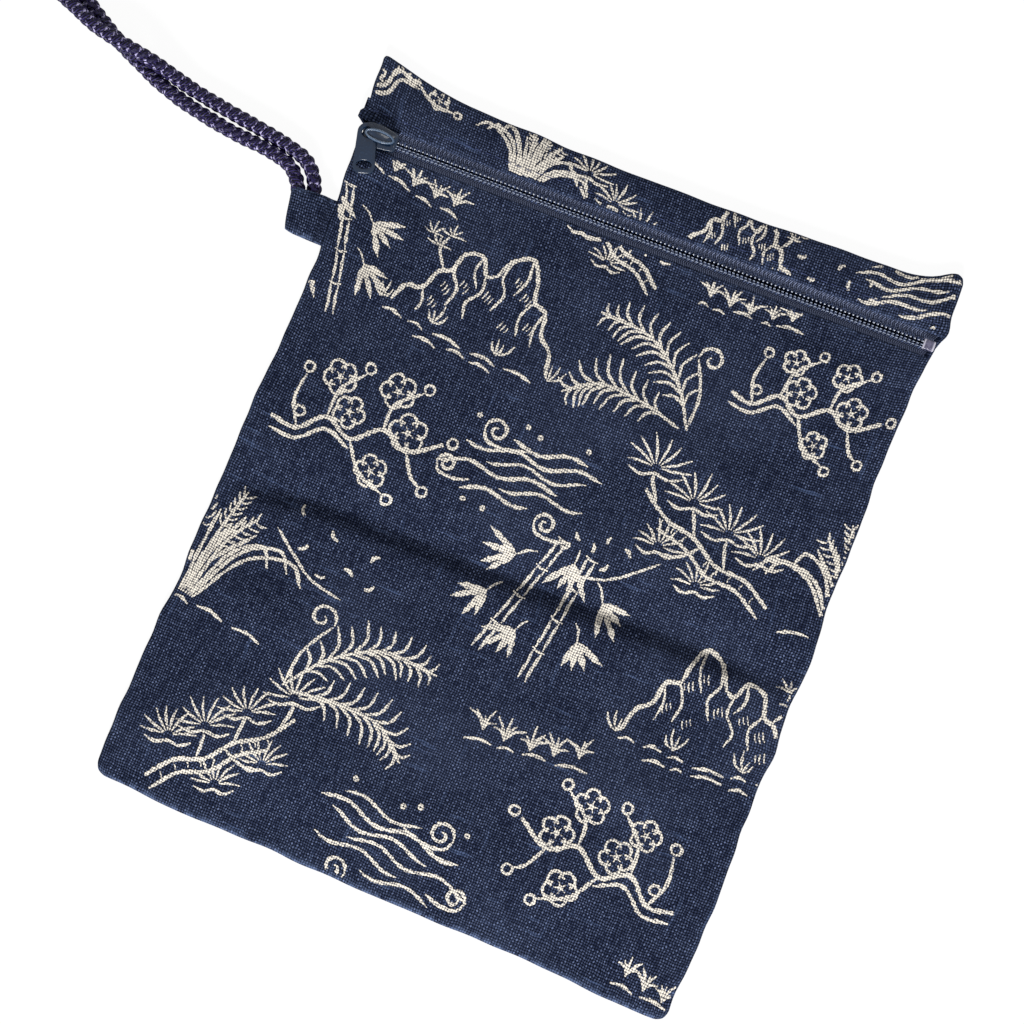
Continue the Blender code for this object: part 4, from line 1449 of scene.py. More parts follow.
    def stream(self) -> list[Stroke]:
        """Running water with curled crests.

        Returns:
            The lines.
        """
        made = []
        for row, (start, end) in enumerate(((-19, 4), (-24, 17), (-20, 9), (-13, 24), (-21, 5), (-6, 15))):
            xs = np.arange(start, end, 2.2)
            swell = 1.1 * np.sin(xs * 0.34 + row * 1.1) + 0.4 * np.sin(xs * 0.11)
            made.append(Stroke(np.column_stack([xs, 7.5 - row * 3.1 + swell]), self.vary(1.0), 0.3))
        for x, y, size in ((8, 9.5, 3.6), (-12, -11.5, 3.2), (19, -3, 2.8)):
            made.append(self.curl(x, y, size, 10, 8.2, 1.0))
            run_up = ((-2.6, -0.9), (-1, -1.2), (0.6, -0.9), (1, 0))
            made.append(Stroke([(x + size * a, y + size * b) for a, b in run_up], 1.0))
        for x, y in ((-4, 11), (0, 13), (14, 12.5), (-18, 11), (6, -12), (12, -11)):
            made.append(self.ring(x, y, 0.55, 0, 6.3, 0.8))
        return made

    def fern(self) -> list[Stroke]:
        """Two arching fronds with paired leaflets.

        Returns:
            The lines.
        """
        made = []
        for spine in ([(-14, -13), (-9, -2), (0, 7), (13, 10)], [(-12, -13), (-2, -9), (9, -7), (18, -11)]):
            line = curve_through(spine, 3.0)
            made.append(Stroke(spine, 1.0, 0.5))
            for k in range(2, len(line) - 1):
                way = math.atan2(*(line[k + 1] - line[k - 1])[::-1])
                size = 6.6 * math.sin(math.pi * (k / len(line)) ** 0.8) + 1.4
                for side in (-1, 1):
                    length, bend = self.vary(size, 0.14), -side * size * 0.2
                    made.append(self.ray(*line[k], way + side * 0.92, length, bend, 0.85))
        made.append(self.curl(-16, 5, 3.4, 9, 7.4, 0.95))
        made.append(Stroke([(-14, -12), (-15, -4), (-12.7, 4.6)], 0.95))
        return made

    def bamboo(self) -> list[Stroke]:
        """Two jointed stems with sprays of leaves.

        Returns:
            The lines.
        """
        made = []
        for x, lean in ((-5, 0.10), (6, -0.06)):
            for k in range(4):
                low = -15 + 8.4 * k
                middle, high = low + 3.8, low + 7.6
                for side in (-1.05, 1.05):
                    wall = ((side, low), (side * 0.85, middle), (side, high))
                    made.append(Stroke([(x + out + lean * y, y) for out, y in wall], 0.9))
                knot = ((-1.7, 0.5), (0, 0.1), (1.7, 0.5))
                made.append(Stroke([(x + out + lean * high, high + up) for out, up in knot], 0.85))
        sprays = ((-11, 9, 3.6), (-12, -2, 4.2), (13, 11, -0.5), (13, 0, -0.9), (2, 15, -1.4), (-1, -6, -1.9))
        for x, y, turn in sprays:
            for k in range(4):
                angle = turn + (k - 1.5) * 0.46 + self.rng.uniform(-0.1, 0.1)
                length = self.vary(8.2, 0.18)
                tip = (x + length * math.cos(angle), y + length * math.sin(angle))
                belly = (x + 0.45 * length * math.cos(angle), y + 0.45 * length * math.sin(angle))
                made.append(Stroke([(x, y), belly, tip], 1.7, 0.12))
            twig = (x - 5.5 * math.cos(turn) * 0.8, y + 3.5)
            made.append(Stroke([twig, ((x + twig[0]) / 2, y + 2.4), (x, y)], 0.75))
        return made

    def petals(self) -> list[Stroke]:
        """Loose petals on the wind.

        Returns:
            The lines.
        """
        made = []
        for x, y in ((-12, 3), (-6, -2), (-1, 4), (5, 0), (9, 6), (14, 2), (3, -5)):
            angle = self.rng.uniform(0, 6.28)
            made.append(self.ray(x, y, angle, self.vary(2.6, 0.2), 0.5, 1.5))
        return made + [Stroke([(-15, -4), (-7, -6.4), (1, -8), (10, -6.6)], 0.8, 0.2)]

    def grass(self) -> list[Stroke]:
        """Low tufts along a bank.

        Returns:
            The lines.
        """
        made = []
        for x in (-13, -6.5, 0, 7, 13):
            for k in range(5):
                angle = math.radians(38 + 26 * k + self.rng.uniform(-6, 6))
                made.append(self.ray(x, 0.01 * x * x - 1, angle, self.vary(5.2, 0.3), 0.5 * (2 - k), 0.8))
        return made + self.ground(16, -2.4)


@dataclass(frozen=True)
class Spot:
    """Where a motif is printed: millimetres from the cloth's left and bottom edges, on one face."""

    motif: Motif
    s: float
    t: float
    turn: float = 0.0
    scale: float = 1.0
    mirror: bool = False


FRONT_SPOTS = (
    Spot(Motif.PINE, 31, 25, 14, 1.25),
    Spot(Motif.STREAM, 88, 14, -7, 1.1),
    Spot(Motif.PLUM, 141, 34, 16, 1.3, True),
    Spot(Motif.GRASS, 174, 6, -4, 1.0),
    Spot(Motif.REEDS, 3, 73, -6, 1.2),
    Spot(Motif.FERN, 61, 56, -14, 1.25),
    Spot(Motif.GRASS, 112, 56, 6, 1.1, True),
    Spot(Motif.ROCKS, 160, 82, 3, 1.15, True),
    Spot(Motif.PETALS, 38, 84, -20, 1.1),
    Spot(Motif.BAMBOO, 98, 92, -12, 1.2),
    Spot(Motif.PLUM, 32, 122, -12, 1.3),
    Spot(Motif.STREAM, 78, 127, 6, 1.05, True),
    Spot(Motif.PINE, 136, 131, 6, 1.35, True),
    Spot(Motif.REEDS, 181, 131, 8, 1.1, True),
    Spot(Motif.PETALS, 112, 116, 24, 1.0, True),
    Spot(Motif.BAMBOO, 0, 163, 8, 1.1),
    Spot(Motif.ROCKS, 50, 168, -4, 1.15),
    Spot(Motif.FERN, 101, 170, 8, 1.2, True),
    Spot(Motif.PLUM, 151, 176, -20, 1.15),
    Spot(Motif.GRASS, 20, 193, -8, 1.0),
    Spot(Motif.PINE, 80, 205, -4, 1.0, True),
    Spot(Motif.GRASS, 124, 196, 4, 0.95),
)

BAND_SPOTS = (
    Spot(Motif.PLUM, 12, 224, 12, 0.9),
    Spot(Motif.REEDS, 50, 214, -8, 0.7),
    Spot(Motif.ROCKS, 116, 213, 0, 0.75, True),
    Spot(Motif.PETALS, 143, 212, -10, 0.9),
    Spot(Motif.STREAM, 167, 216, 6, 0.8),
)


@dataclass
class LinePrint:
    """The cream line print, a thin pigment layer on the outer cloth."""

    form: PouchForm
    cotton: WovenCotton
    spots: dict[Face, tuple[Spot, ...]]
    ink: str = "#fff7e8"
    thin_ink: str = "#9a9590"
    lift: float = 0.00005
    spacing: float = 0.62
    clear_side: float = 0.0006
    clear_bottom: float = 0.0012
    clear_top: float = 0.0003
    clear_zip: float = 0.0002
    taper_length: float = 3.0
    rough_width: float = 0.30
    rough_path: float = 0.10

    def build(self, cloth: bpy.types.Object) -> bpy.types.Object:
        """Draws every motif and lays its lines on the cloth.

        Args:
            cloth: the finished outer cloth.

        Returns:
            The print's own thin mesh.
        """
        tree = BVHTree.FromObject(cloth, bpy.context.evaluated_depsgraph_get())
        parts = MeshParts()
        rng = np.random.default_rng(11)
        for face, spots in self.spots.items():
            for number, spot in enumerate(spots):
                brush = Brush(number * 7 + len(face.value))
                for stroke in brush.draw(spot.motif):
                    turn = math.radians(spot.turn)
                    turned = stroke.turned(spot.scale, turn, spot.mirror, (spot.s, spot.t))
                    self.add_line(parts, tree, turned, face, rng)
        material = self.cotton.printed("cream_pigment_on_cotton", self.ink, self.thin_ink)
        return place("line_print", parts.mesh("line_print", material, merge=0.0))

    def add_line(self, parts: MeshParts, tree: BVHTree, stroke: Stroke, face: Face,
                 rng: np.random.Generator) -> None:
        """Lays one line on the cloth, cut off at the seams and at the zip.

        Args:
            parts: the mesh under way.
            tree: the cloth's surface.
            stroke: the line, in flat-cloth millimetres.
            face: front or back.
            rng: the unevenness of the line's edges.
        """
        line = curve_through(stroke.points, self.spacing)
        count = len(line)
        way = np.gradient(line, axis=0)
        way /= np.maximum(np.linalg.norm(way, axis=1, keepdims=True), 1e-9)
        across = np.stack([-way[:, 1], way[:, 0]], axis=-1)
        along = np.linspace(0, 1, count)
        ends = np.minimum(along, 1 - along) * count * self.spacing
        width = stroke.width * (stroke.taper + (1 - stroke.taper) * smooth(ends / self.taper_length))
        width = width * (1 + rng.uniform(-self.rough_width, self.rough_width, count))
        line = line + across * rng.uniform(-self.rough_path, self.rough_path, (count, 1))
        rails = [line + across * (width * side / 2)[:, None] for side in (-1, 0, 1)]
        flat = np.stack(rails) * MM
        form = self.form
        s, t = flat[..., 0], flat[..., 1]
        plan_y = form.plan(s, t)[1]
        clear = (s > self.clear_side) & (s < form.width - self.clear_side)
        clear &= (t > self.clear_bottom) & (t < form.height - self.clear_top)
        if face is Face.FRONT:
            clear &= np.abs(plan_y - form.zip_y) > form.window_half + self.clear_zip
        ok = clear.all(axis=0)
        if not ok.any():
            return
        points = form.points(np.clip(s, 0, form.width), np.clip(t, 0, form.height), face)
        up = 1.0 if face is Face.FRONT else -1.0
        keep = ok[1:] & ok[:-1]
        lift = self.lift * rng.uniform(1.0, 1.8)
        for i, j in np.argwhere(np.broadcast_to(ok, s.shape)):
            hit, normal, _, _ = tree.find_nearest(Vector(points[i, j]))
            points[i, j] = hit + normal * lift
        cells = np.broadcast_to(keep, (2, count - 1))
        shown = np.stack([s, t * up], axis=-1)
        parts.grid(points, shown, keep=cells, flip=face is Face.BACK)

    def declare(self, made: bpy.types.Object) -> None:
        """The print moves with the cloth that carries it."""
        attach(made, "pouch")


@dataclass(frozen=True)
class CoilRow:
    """One row of stitches along the coils: y from the zip's middle, and its height over the coils' tops."""

    name: str
    y: float
    rise: float
    length: float
    radius: float
    phase: float
    bright: bool


# The upper knots' pale thread is a painted highlight on the coil heads.
COIL_ROWS = (
    CoilRow("zip_upper_knots_painted_highlight", 0.00044, 0.00004, 0.00046, 0.00021, 0.50, True),
    CoilRow("zip_thread_lower_knots", -0.00048, -0.00002, 0.00082, 0.00013, 0.50, False),
    CoilRow("zip_thread_lower_rail", -0.00122, -0.00014, 0.00105, 0.00013, 0.25, False),
)


@dataclass
class CoilZip:
    """The zip's coils and the rows of stitches on them."""

    form: PouchForm
    left: float = -0.0852536
    stop_left: float = 0.0869558
    pitch: float = 0.00125
    wire: float = 0.00029
    end_gap: float = 0.0003
    turn_samples: float = 14.0
    first_turn: float = 0.25
    lean: float = 0.16
    coil_middle: float = 0.00098
    coil_half: float = 0.00062
    coil_low: float = 0.00275
    coil_high: float = 0.00415
    parts: list[bpy.types.Object] = field(default_factory=list)

    def line(self, y: float, z: float, step: float, start: float, end: float) -> bpy.types.Mesh:
        """A straight guide along the zip, in world coordinates.

        Args:
            y: its distance from the zip's middle.
            z: its height.
            step: the spacing of its points.
            start: where it starts.
            end: where it ends.

        Returns:
            The guide.
        """
        shift_x, shift_y = self.form.frame_shift
        count = max(int(round((end - start) / step)), 1)
        xs = np.linspace(start, end, count + 1) + shift_x
        return guide_line([(x, self.form.zip_y + shift_y + y, z) for x in xs])

    def coil_pattern(self) -> Pattern:
        """A flattened spiral along a guide line.

        Returns:
            The pattern.
        """
        pattern = Pattern("coil_turns", {
            "Turns": "NodeSocketFloat", "Side": "NodeSocketFloat", "Start Turn": "NodeSocketFloat",
            "Half Width": "NodeSocketFloat", "Half Height": "NodeSocketFloat", "Wire": "NodeSocketFloat",
        })
        fine = pattern.resampled((pattern.size("Turns") * self.turn_samples).socket)
        angle = (pattern.along("Factor") * pattern.size("Turns") + pattern.size("Start Turn")) * (2 * math.pi)
        across = angle.math("COSINE") * pattern.size("Half Width") * pattern.size("Side")
        lean = angle.math("COSINE") * (self.pitch * self.lean)
        up = angle.math("SINE") * pattern.size("Half Height")
        offset = pattern.add("ShaderNodeCombineXYZ", {0: lean, 1: across, 2: up})
        moved = pattern.add("GeometryNodeSetPosition", {0: fine, "Offset": offset})
        pattern.sweep(moved, pattern.ring("Wire"))
        return pattern

    def build(self, nylon: Nylon, threads: dict[bool, SewnThread], stitches: Pattern) -> None:
        """Makes the coils and the rows of stitches that hold them.

        Args:
            nylon: what the coils are drawn from.
            threads: the pale thread, a painted highlight on the coil heads, and the dull sewing thread.
            stitches: the pattern of a row of stitches.
        """
        pattern = self.coil_pattern()
        start, end = self.left + self.end_gap, self.stop_left - self.end_gap
        turns = (end - start) / self.pitch
        middle_z = (self.coil_low + self.coil_high) / 2
        material = nylon.material()
        yarn = {bright: finish.material() for bright, finish in threads.items()}
        for word, side in (("upper", 1), ("lower", -1)):
            guide = self.line(side * self.coil_middle, middle_z, 0.005, start, end)
            coil = pattern.run(
                f"zip_coil_{word}_turns", guide, material, Turns=turns, Side=float(side),
                Start_Turn=self.first_turn, Half_Width=self.coil_half,
                Half_Height=(self.coil_high - self.coil_low) / 2 - self.wire, Wire=self.wire,
            )
            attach(coil, "pouch")
            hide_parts(f"zip_coil_{word}")
            self.parts.append(coil)
        for row in COIL_ROWS:
            shift = self.pitch * row.phase
            guide = self.line(row.y, self.coil_high + row.rise, self.pitch, start + shift, end)
            stitched = stitches.run(row.name, guide, yarn[row.bright], Spacing=self.pitch,
                                    Length=row.length, Radius=row.radius)
            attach(stitched, "pouch")
            self.parts.append(stitched)


def stitch_pattern() -> Pattern:
    """A row of thread stitches along a guide line, each a short rounded bar.

    Returns:
        The pattern.
    """
    pattern = Pattern("stitch_row", {
        "Spacing": "NodeSocketFloat", "Length": "NodeSocketFloat", "Radius": "NodeSocketFloat",
    })
    spaced = {"Curve": pattern.curve(), "Length": pattern.size("Spacing")}
    dots = pattern.add("GeometryNodeResampleCurve", spaced, mode="LENGTH")
    tangent = pattern.add("GeometryNodeInputTangent")
    turned = pattern.add("FunctionNodeAlignRotationToVector", {"Vector": tangent}, axis="X")
    ball = pattern.add("GeometryNodeMeshIcoSphere", {"Radius": 1.0, "Subdivisions": 2})
    radius = pattern.size("Radius")
    scale = pattern.add("ShaderNodeCombineXYZ", {0: pattern.size("Length") * 0.5, 1: radius, 2: radius})
    shaped = pattern.add("GeometryNodeTransform", {"Geometry": ball, "Scale": scale})
    values = {"Points": dots, "Instance": shaped, "Rotation": turned}
    pattern.end(pattern.add("GeometryNodeInstanceOnPoints", values))
    return pattern


@dataclass
class TopStitch:
    """The line of stitches that holds the band's hem to the upper tape."""

    form: PouchForm
    above_zip: float = 0.0066
    stitch: float = 0.0024
    gap: float = 0.0007
    radius: float = 0.00014
    left: float = -0.0835
    right: float = 0.0895
    step: float = 0.001
    sway: float = 0.00018
    sway_rate: float = 210.0

    def build(self, cloth: bpy.types.Object, thread: SewnThread, stitches: Pattern) -> bpy.types.Object:
        """Lays the stitches on the cloth.

        Args:
            cloth: the finished outer cloth.
            thread: the sewing thread.
            stitches: the pattern of a row of stitches.

        Returns:
            The row of stitches.
        """
        tree = BVHTree.FromObject(cloth, bpy.context.evaluated_depsgraph_get())
        shift_x, shift_y = self.form.frame_shift
        points = []
        for x in np.arange(self.left, self.right, self.step):
            y = self.form.zip_y + self.above_zip + self.sway * math.sin(x * self.sway_rate)
            hit, normal, _, _ = tree.ray_cast(Vector((x + shift_x, y + shift_y, 0.02)), Vector((0, 0, -1)))
            points.append(hit + normal * (self.radius * 0.15))
        made = stitches.run("band_topstitch", guide_line(points), thread.material(),
                            Spacing=self.stitch + self.gap, Length=self.stitch, Radius=self.radius)
        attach(made, "pouch")
        return made


@dataclass
class CordTab:
    """The folded strip of cloth in the left side seam, round the cord's ends."""

    form: PouchForm
    y: float = 0.0628
    height: float = 0.0124
    reach: float = 0.0134
    cloth: float = 0.0005
    cord: float = 0.0040
    cord_z: float = 0.0027
    slack: float = 0.0002
    tail: float = 0.0045
    tail_gap: float = 0.0001
    mouth_gap: float = 0.0006
    foot_share: float = 0.24
    spacing: float = 0.0006
    corner_in: float = 0.0004
    ripple: float = 0.00012
    ripple_length: float = 0.006
    flat_size: tuple[float, float] = (0.0145, 0.0440)

    def edge(self) -> float:
        """Where the pouch's edge lies behind the tab, in plan.

        Returns:
            The edge's x.
        """
        s = np.zeros(1)
        t = self.form.t_at(s, self.y)
        return float(self.form.plan(s, t)[0][0])

    def path(self) -> np.ndarray:
        """The strip's middle line in the XZ plane, from the seam round the cord and back.

        Returns:
            Points in X and Z.
        """
        edge = self.edge()
        half = self.cloth / 2
        middle = self.form.seam / 2
        top = self.cord_z + self.cord / 2 + self.slack + half
        radius = (top - half) / 2
        centre = edge - self.reach + half + radius
        mouth = edge - self.mouth_gap
        foot = mouth - self.reach * self.foot_share
        ramp = [(mouth + (foot - mouth) * k / 10, float(smooth(k / 10))) for k in range(11)]
        low_tail = middle - self.cloth / 2 - self.tail_gap
        high_tail = middle + self.cloth / 2 + self.tail_gap
        lower = [(edge + self.tail, low_tail)] + [(x, low_tail + (half - low_tail) * s) for x, s in ramp]
        turn = [math.pi * k / 16 for k in range(17)]
        bend = [(centre - radius * math.sin(a), (top + half) / 2 - radius * math.cos(a)) for a in turn]
        upper = [(x, high_tail + (top - high_tail) * s) for x, s in reversed(ramp)]
        upper.append((edge + self.tail, high_tail))
        return curve_through(lower + bend + upper, self.spacing)

    def build(self, cotton: WovenCotton) -> bpy.types.Object:
        """Makes the strip as a sheet with a wall, its raw edges turned and its lower corner rounded.

        Args:
            cotton: the cloth's finish.

        Returns:
            The tab.
        """
        path = self.path()
        rows = np.linspace(-0.5, 0.5, 15)
        shift_x, shift_y = self.form.frame_shift
        run = np.concatenate([[0], np.cumsum(np.linalg.norm(np.diff(path, axis=0), axis=1))])
        across, along = np.meshgrid(rows, run, indexing="ij")
        edge = self.edge()
        x = edge + (path[:, 0] - edge) * (1 - 0.15 * (0.5 - across))
        z = np.broadcast_to(path[:, 1], across.shape)
        outward = np.clip((edge - x) / self.reach, 0, 1)
        low_corner = smooth((outward - 0.62) / 0.30) * np.clip(-across * 2, 0, 1) ** 3
        x = x + self.corner_in * low_corner
        pinch = 1.10 - 0.10 * outward - 0.07 * low_corner
        edge_round = 0.00035 * np.clip(np.abs(across) * 2 - 0.75, 0, 1) * 4 * np.sign(z - self.cord_z * 0.9)
        ripple = self.ripple * waves(x, across * self.height, self.ripple_length, 21)
        y = self.y + across * self.height * pinch
        z = np.maximum(z - edge_round * 0.6 + ripple * (z > 0.001), self.cloth * 0.55)
        points = np.stack([x + shift_x, y + shift_y, z], axis=-1)
        parts = MeshParts()
        # Paler folded edges and far end: partly fading, partly a painted highlight.
        wear_and_highlight = 0.6 * bell(0.5 - np.abs(across), 0.07) + 0.25 * outward**8
        parts.grid(points, np.stack([along, across * self.height], axis=-1), np.clip(wear_and_highlight, 0, 1))
        made = place("cord_tab_fold", parts.mesh("cord_tab_fold", cotton.material()))
        wall = made.modifiers.new("cloth", "SOLIDIFY")
        wall.thickness = self.cloth
        wall.offset = 0.0
        return made

    def declare(self, made: bpy.types.Object) -> None:
        """Attaches the tab to the pouch's body and hides its CAD solid.

        Args:
            made: the finished tab.
        """
        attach(made, "pouch")
        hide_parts("cord_tab")


IN_TAB, FLAT = 0.0028, 0.0022
CORD_ROUTE = (
    (-0.0908, 0.0592, IN_TAB), (-0.0911, 0.0645, IN_TAB), (-0.0922, 0.0698, IN_TAB),
    (-0.0941, 0.0740, 0.0026), (-0.0976, 0.0774, FLAT), (-0.1027, 0.0792, FLAT),
    (-0.1110, 0.0809, FLAT), (-0.1232, 0.0828, FLAT), (-0.1349, 0.0849, FLAT),
    (-0.1442, 0.0872, 0.0041), (-0.1510, 0.0886, 0.0059), (-0.1583, 0.0898, 0.0065),
    (-0.1655, 0.0914, 0.0060), (-0.1712, 0.0935, 0.0050), (-0.1758, 0.0955, 0.0038),
    (-0.1815, 0.0978, 0.0024), (-0.1900, 0.1008, FLAT), (-0.1995, 0.1034, FLAT),
    (-0.2080, 0.1076, FLAT), (-0.2121, 0.1132, FLAT), (-0.2109, 0.1196, FLAT),
    (-0.2057, 0.1234, FLAT), (-0.1987, 0.1222, FLAT), (-0.1912, 0.1162, FLAT),
    (-0.1842, 0.1088, FLAT), (-0.1780, 0.1024, FLAT), (-0.1712, 0.0974, FLAT),
    (-0.1650, 0.0934, FLAT), (-0.1583, 0.0896, FLAT), (-0.1507, 0.0860, FLAT),
    (-0.1432, 0.0828, FLAT), (-0.1336, 0.0800, FLAT), (-0.1208, 0.0776, FLAT),
    (-0.1100, 0.0765, FLAT), (-0.1036, 0.0752, FLAT), (-0.1003, 0.0735, 0.0023),
    (-0.0980, 0.0710, 0.0026), (-0.0965, 0.0682, IN_TAB), (-0.0955, 0.0652, IN_TAB),
    (-0.0950, 0.0622, IN_TAB), (-0.0949, 0.0592, IN_TAB),
)


@dataclass
class WristCord:
    """The round braided cord, doubled, with both ends sewn inside the tab."""

    form: PouchForm
    diameter: float = 0.0040
    strands: int = 8
    turn_length: float = 0.0112
    strand_radius: float = 0.00085
    weave_depth: float = 0.00020
    overlap: float = 0.00006
    sample: float = 0.00055
    marks_per_metre: float = 900.0

    def path(self) -> np.ndarray:
        """The cord's middle line, in world coordinates."""
        shift = np.array([*self.form.frame_shift, 0.0])
        return curve_through(CORD_ROUTE, 0.0012) + shift

    def braid_pattern(self) -> Pattern:
        """Strands that wind round a guide line both ways, over and under each other.

        Returns:
            The pattern.
        """
        pattern = Pattern("braid", {
            "Strands": "NodeSocketInt", "Turns": "NodeSocketFloat", "Radius": "NodeSocketFloat",
            "Depth": "NodeSocketFloat", "Strand": "NodeSocketFloat", "Way": "NodeSocketFloat",
            "Samples": "NodeSocketInt",
        })
        tree = pattern.tree
        geometry: Value = pattern.resampled(pattern.size("Samples"))
        kept = {}
        sources = {
            "normal": (pattern.add("GeometryNodeInputNormal").outputs[0], "FLOAT_VECTOR"),
            "tangent": (pattern.add("GeometryNodeInputTangent").outputs[0], "FLOAT_VECTOR"),
            "factor": (pattern.along("Factor"), "FLOAT"),
        }
        for name, (source, kind) in sources.items():
            geometry = pattern.store(geometry, name, source, kind)
            kept[name] = pattern.stored(name, kind)
        values = {0: geometry, "Amount": pattern.size("Strands")}
        copies = pattern.add("GeometryNodeDuplicateElements", values, domain="SPLINE")
        number = copies.outputs["Duplicate Index"]
        numbered = pattern.store(copies.outputs[0], "strand_number", number, domain="CURVE")
        index = Field(tree, pattern.stored("strand_number"))
        winding = Field(tree, kept["factor"]) * pattern.size("Turns")
        share = index / pattern.size("Strands")
        angle = (winding + share) * pattern.size("Way") * (2 * math.pi)
        over = (winding * pattern.size("Strands") + index) * math.pi
        weave = over.math("COSINE") * pattern.size("Way") * pattern.size("Depth")
        radius = pattern.size("Radius") + weave
        normal = kept["normal"]
        side = pattern.vector("CROSS_PRODUCT", {0: kept["tangent"], 1: normal})
        one = pattern.vector("SCALE", {0: normal, "Scale": angle.math("COSINE") * radius})
        two = pattern.vector("SCALE", {0: side, "Scale": angle.math("SINE") * radius})
        offset = pattern.vector("ADD", {0: one, 1: two})
        moved = pattern.add("GeometryNodeSetPosition", {0: numbered, "Offset": offset})
        marked = pattern.store(moved, "strand_along", pattern.along("Length") * self.marks_per_metre)
        marked = pattern.store(marked, "strand_dip", over.math("SINE"))
        ring = pattern.ring("Strand")
        pattern.sweep(marked, pattern.store(ring, "strand_around", pattern.along("Factor")))
        return pattern

    def build(self, yarn: TwistedThread) -> bpy.types.Object:
        """Braids the cord: half of the strands wind one way and half the other.

        Args:
            yarn: the strands' finish.

        Returns:
            The braid.
        """
        path = self.path()
        length = float(np.linalg.norm(np.diff(path, axis=0), axis=1).sum())
        pattern = self.braid_pattern()
        material = yarn.material()
        half = self.strands // 2
        radius = self.diameter / 2 + self.overlap - self.strand_radius
        ways = []
        for way in (1.0, -1.0):
            ways.append(pattern.run(
                "wrist_cord_braid" if way > 0 else "wrist_cord_counter", guide_line(path), material,
                Strands=half, Turns=length / self.turn_length, Radius=radius, Depth=self.weave_depth,
                Strand=self.strand_radius, Way=way, Samples=int(length / self.sample),
            ))
        return join(ways, "wrist_cord_braid")

    def declare(self, made: bpy.types.Object) -> None:
        """Attaches the cord to the pouch's body and hides its CAD solid.

        Args:
            made: the finished braid.
        """
        path = self.path()
        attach(made, "pouch")
        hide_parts("wrist_cord")


@dataclass
class TapeStrip:
    """One side's zip tape, whose far corner is tucked in behind the side seam."""

    node: str
    tucked_below: float = 0.0830
    tucked_to: float = 0.0896

    def build(self, material: bpy.types.Material) -> bpy.types.Object:
        """Copies the solid's own shape and tucks its corner.

        Args:
            material: the woven tape.

        Returns:
            The tape, in place of the solid.
        """
        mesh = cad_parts[self.node].data.copy()
        mesh.materials.clear()
        mesh.materials.append(material)
        mesh.polygons.foreach_set("material_index", [0] * len(mesh.polygons))
        for vertex in mesh.vertices:
            if vertex.co.y < self.tucked_below:
                vertex.co.x = min(vertex.co.x, self.tucked_to)
        made = place(self.node + "_woven", mesh)
        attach(made, "pouch")
        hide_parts(self.node)
        return made


@dataclass
class Hardware:
    """A small cast or moulded piece of the zip, whose edges are broken by a small round."""

    node: str
    body: str
    slot: str
    edge: float
    segments: int = 3
    sharper_than: float = math.radians(32)

    def build(self, material: bpy.types.Material) -> bpy.types.Object:
        """Rounds the edges of the solid's own shape.

        Args:
            material: the piece's finish.

        Returns:
            The rounded piece, in place of the solid.
        """
        bm = bmesh.new()
        bm.from_mesh(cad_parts[self.node].data)
        bmesh.ops.remove_doubles(bm, verts=bm.verts, dist=1e-6)
        bmesh.ops.dissolve_limit(bm, angle_limit=math.radians(1), verts=bm.verts, edges=bm.edges)
        mesh = bpy.data.meshes.new(self.node)
        bm.to_mesh(mesh)
        bm.free()
        mesh.materials.append(material)
        mesh.polygons.foreach_set("material_index", [0] * len(mesh.polygons))
        mesh.shade_smooth()
        made = place(self.node + "_rounded", mesh)
        edges = made.modifiers.new("edges", "BEVEL")
        edges.width = self.edge
        edges.segments = self.segments
        edges.limit_method = "ANGLE"
        edges.angle_limit = self.sharper_than
        edges.harden_normals = True
        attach(made, self.body)
        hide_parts(self.node)
        return made


@dataclass
class BridgeRim:
    """The raised rim round the top of the slider's bridge, which leaves its middle dished."""

    form: PouchForm
    slider_x: float = -0.0797036
    length: float = 0.0082
    width: float = 0.0029
    radius: float = 0.00040
    top: float = 0.0075
    end_drop: float = 0.0003

    def build(self, material: bpy.types.Material) -> bpy.types.Object:
        """Makes the rim as an oval ring, half sunk in the bridge.

        Args:
            material: the pale rim paint, a painted highlight.

        Returns:
            The ring.
        """
        turns = (np.linspace(0, 2 * math.pi, steps + 1) for steps in (48, 10))
        around, tube = np.meshgrid(*turns, indexing="ij")
        out = self.radius * np.cos(tube)
        shift_x, shift_y = self.form.frame_shift
        points = np.stack([
            self.slider_x + shift_x + (self.length / 2 + out) * np.cos(around),
            self.form.zip_y + shift_y + (self.width / 2 + out) * np.sin(around),
            self.top - self.end_drop * np.cos(around) ** 4 + self.radius * np.sin(tube),
        ], axis=-1)
        parts = MeshParts()
        parts.grid(points, points[..., :2])
        made = place("slider_bridge_rim", parts.mesh("slider_bridge_rim", material))
        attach(made, "slider")
        return made


def join(objects: list[bpy.types.Object], name: str) -> bpy.types.Object:
    """Joins meshes into one object and returns it.

    Args:
        objects: what is joined, of one material.
        name: the new object's name.

    Returns:
        The joined object.
    """
    bm = bmesh.new()
    for made in objects:
        bm.from_mesh(made.data)
    mesh = objects[0].data.copy()
    bm.to_mesh(mesh)
    bm.free()
    for made in objects:
        bpy.data.objects.remove(made, do_unlink=True)
    return place(name, mesh)


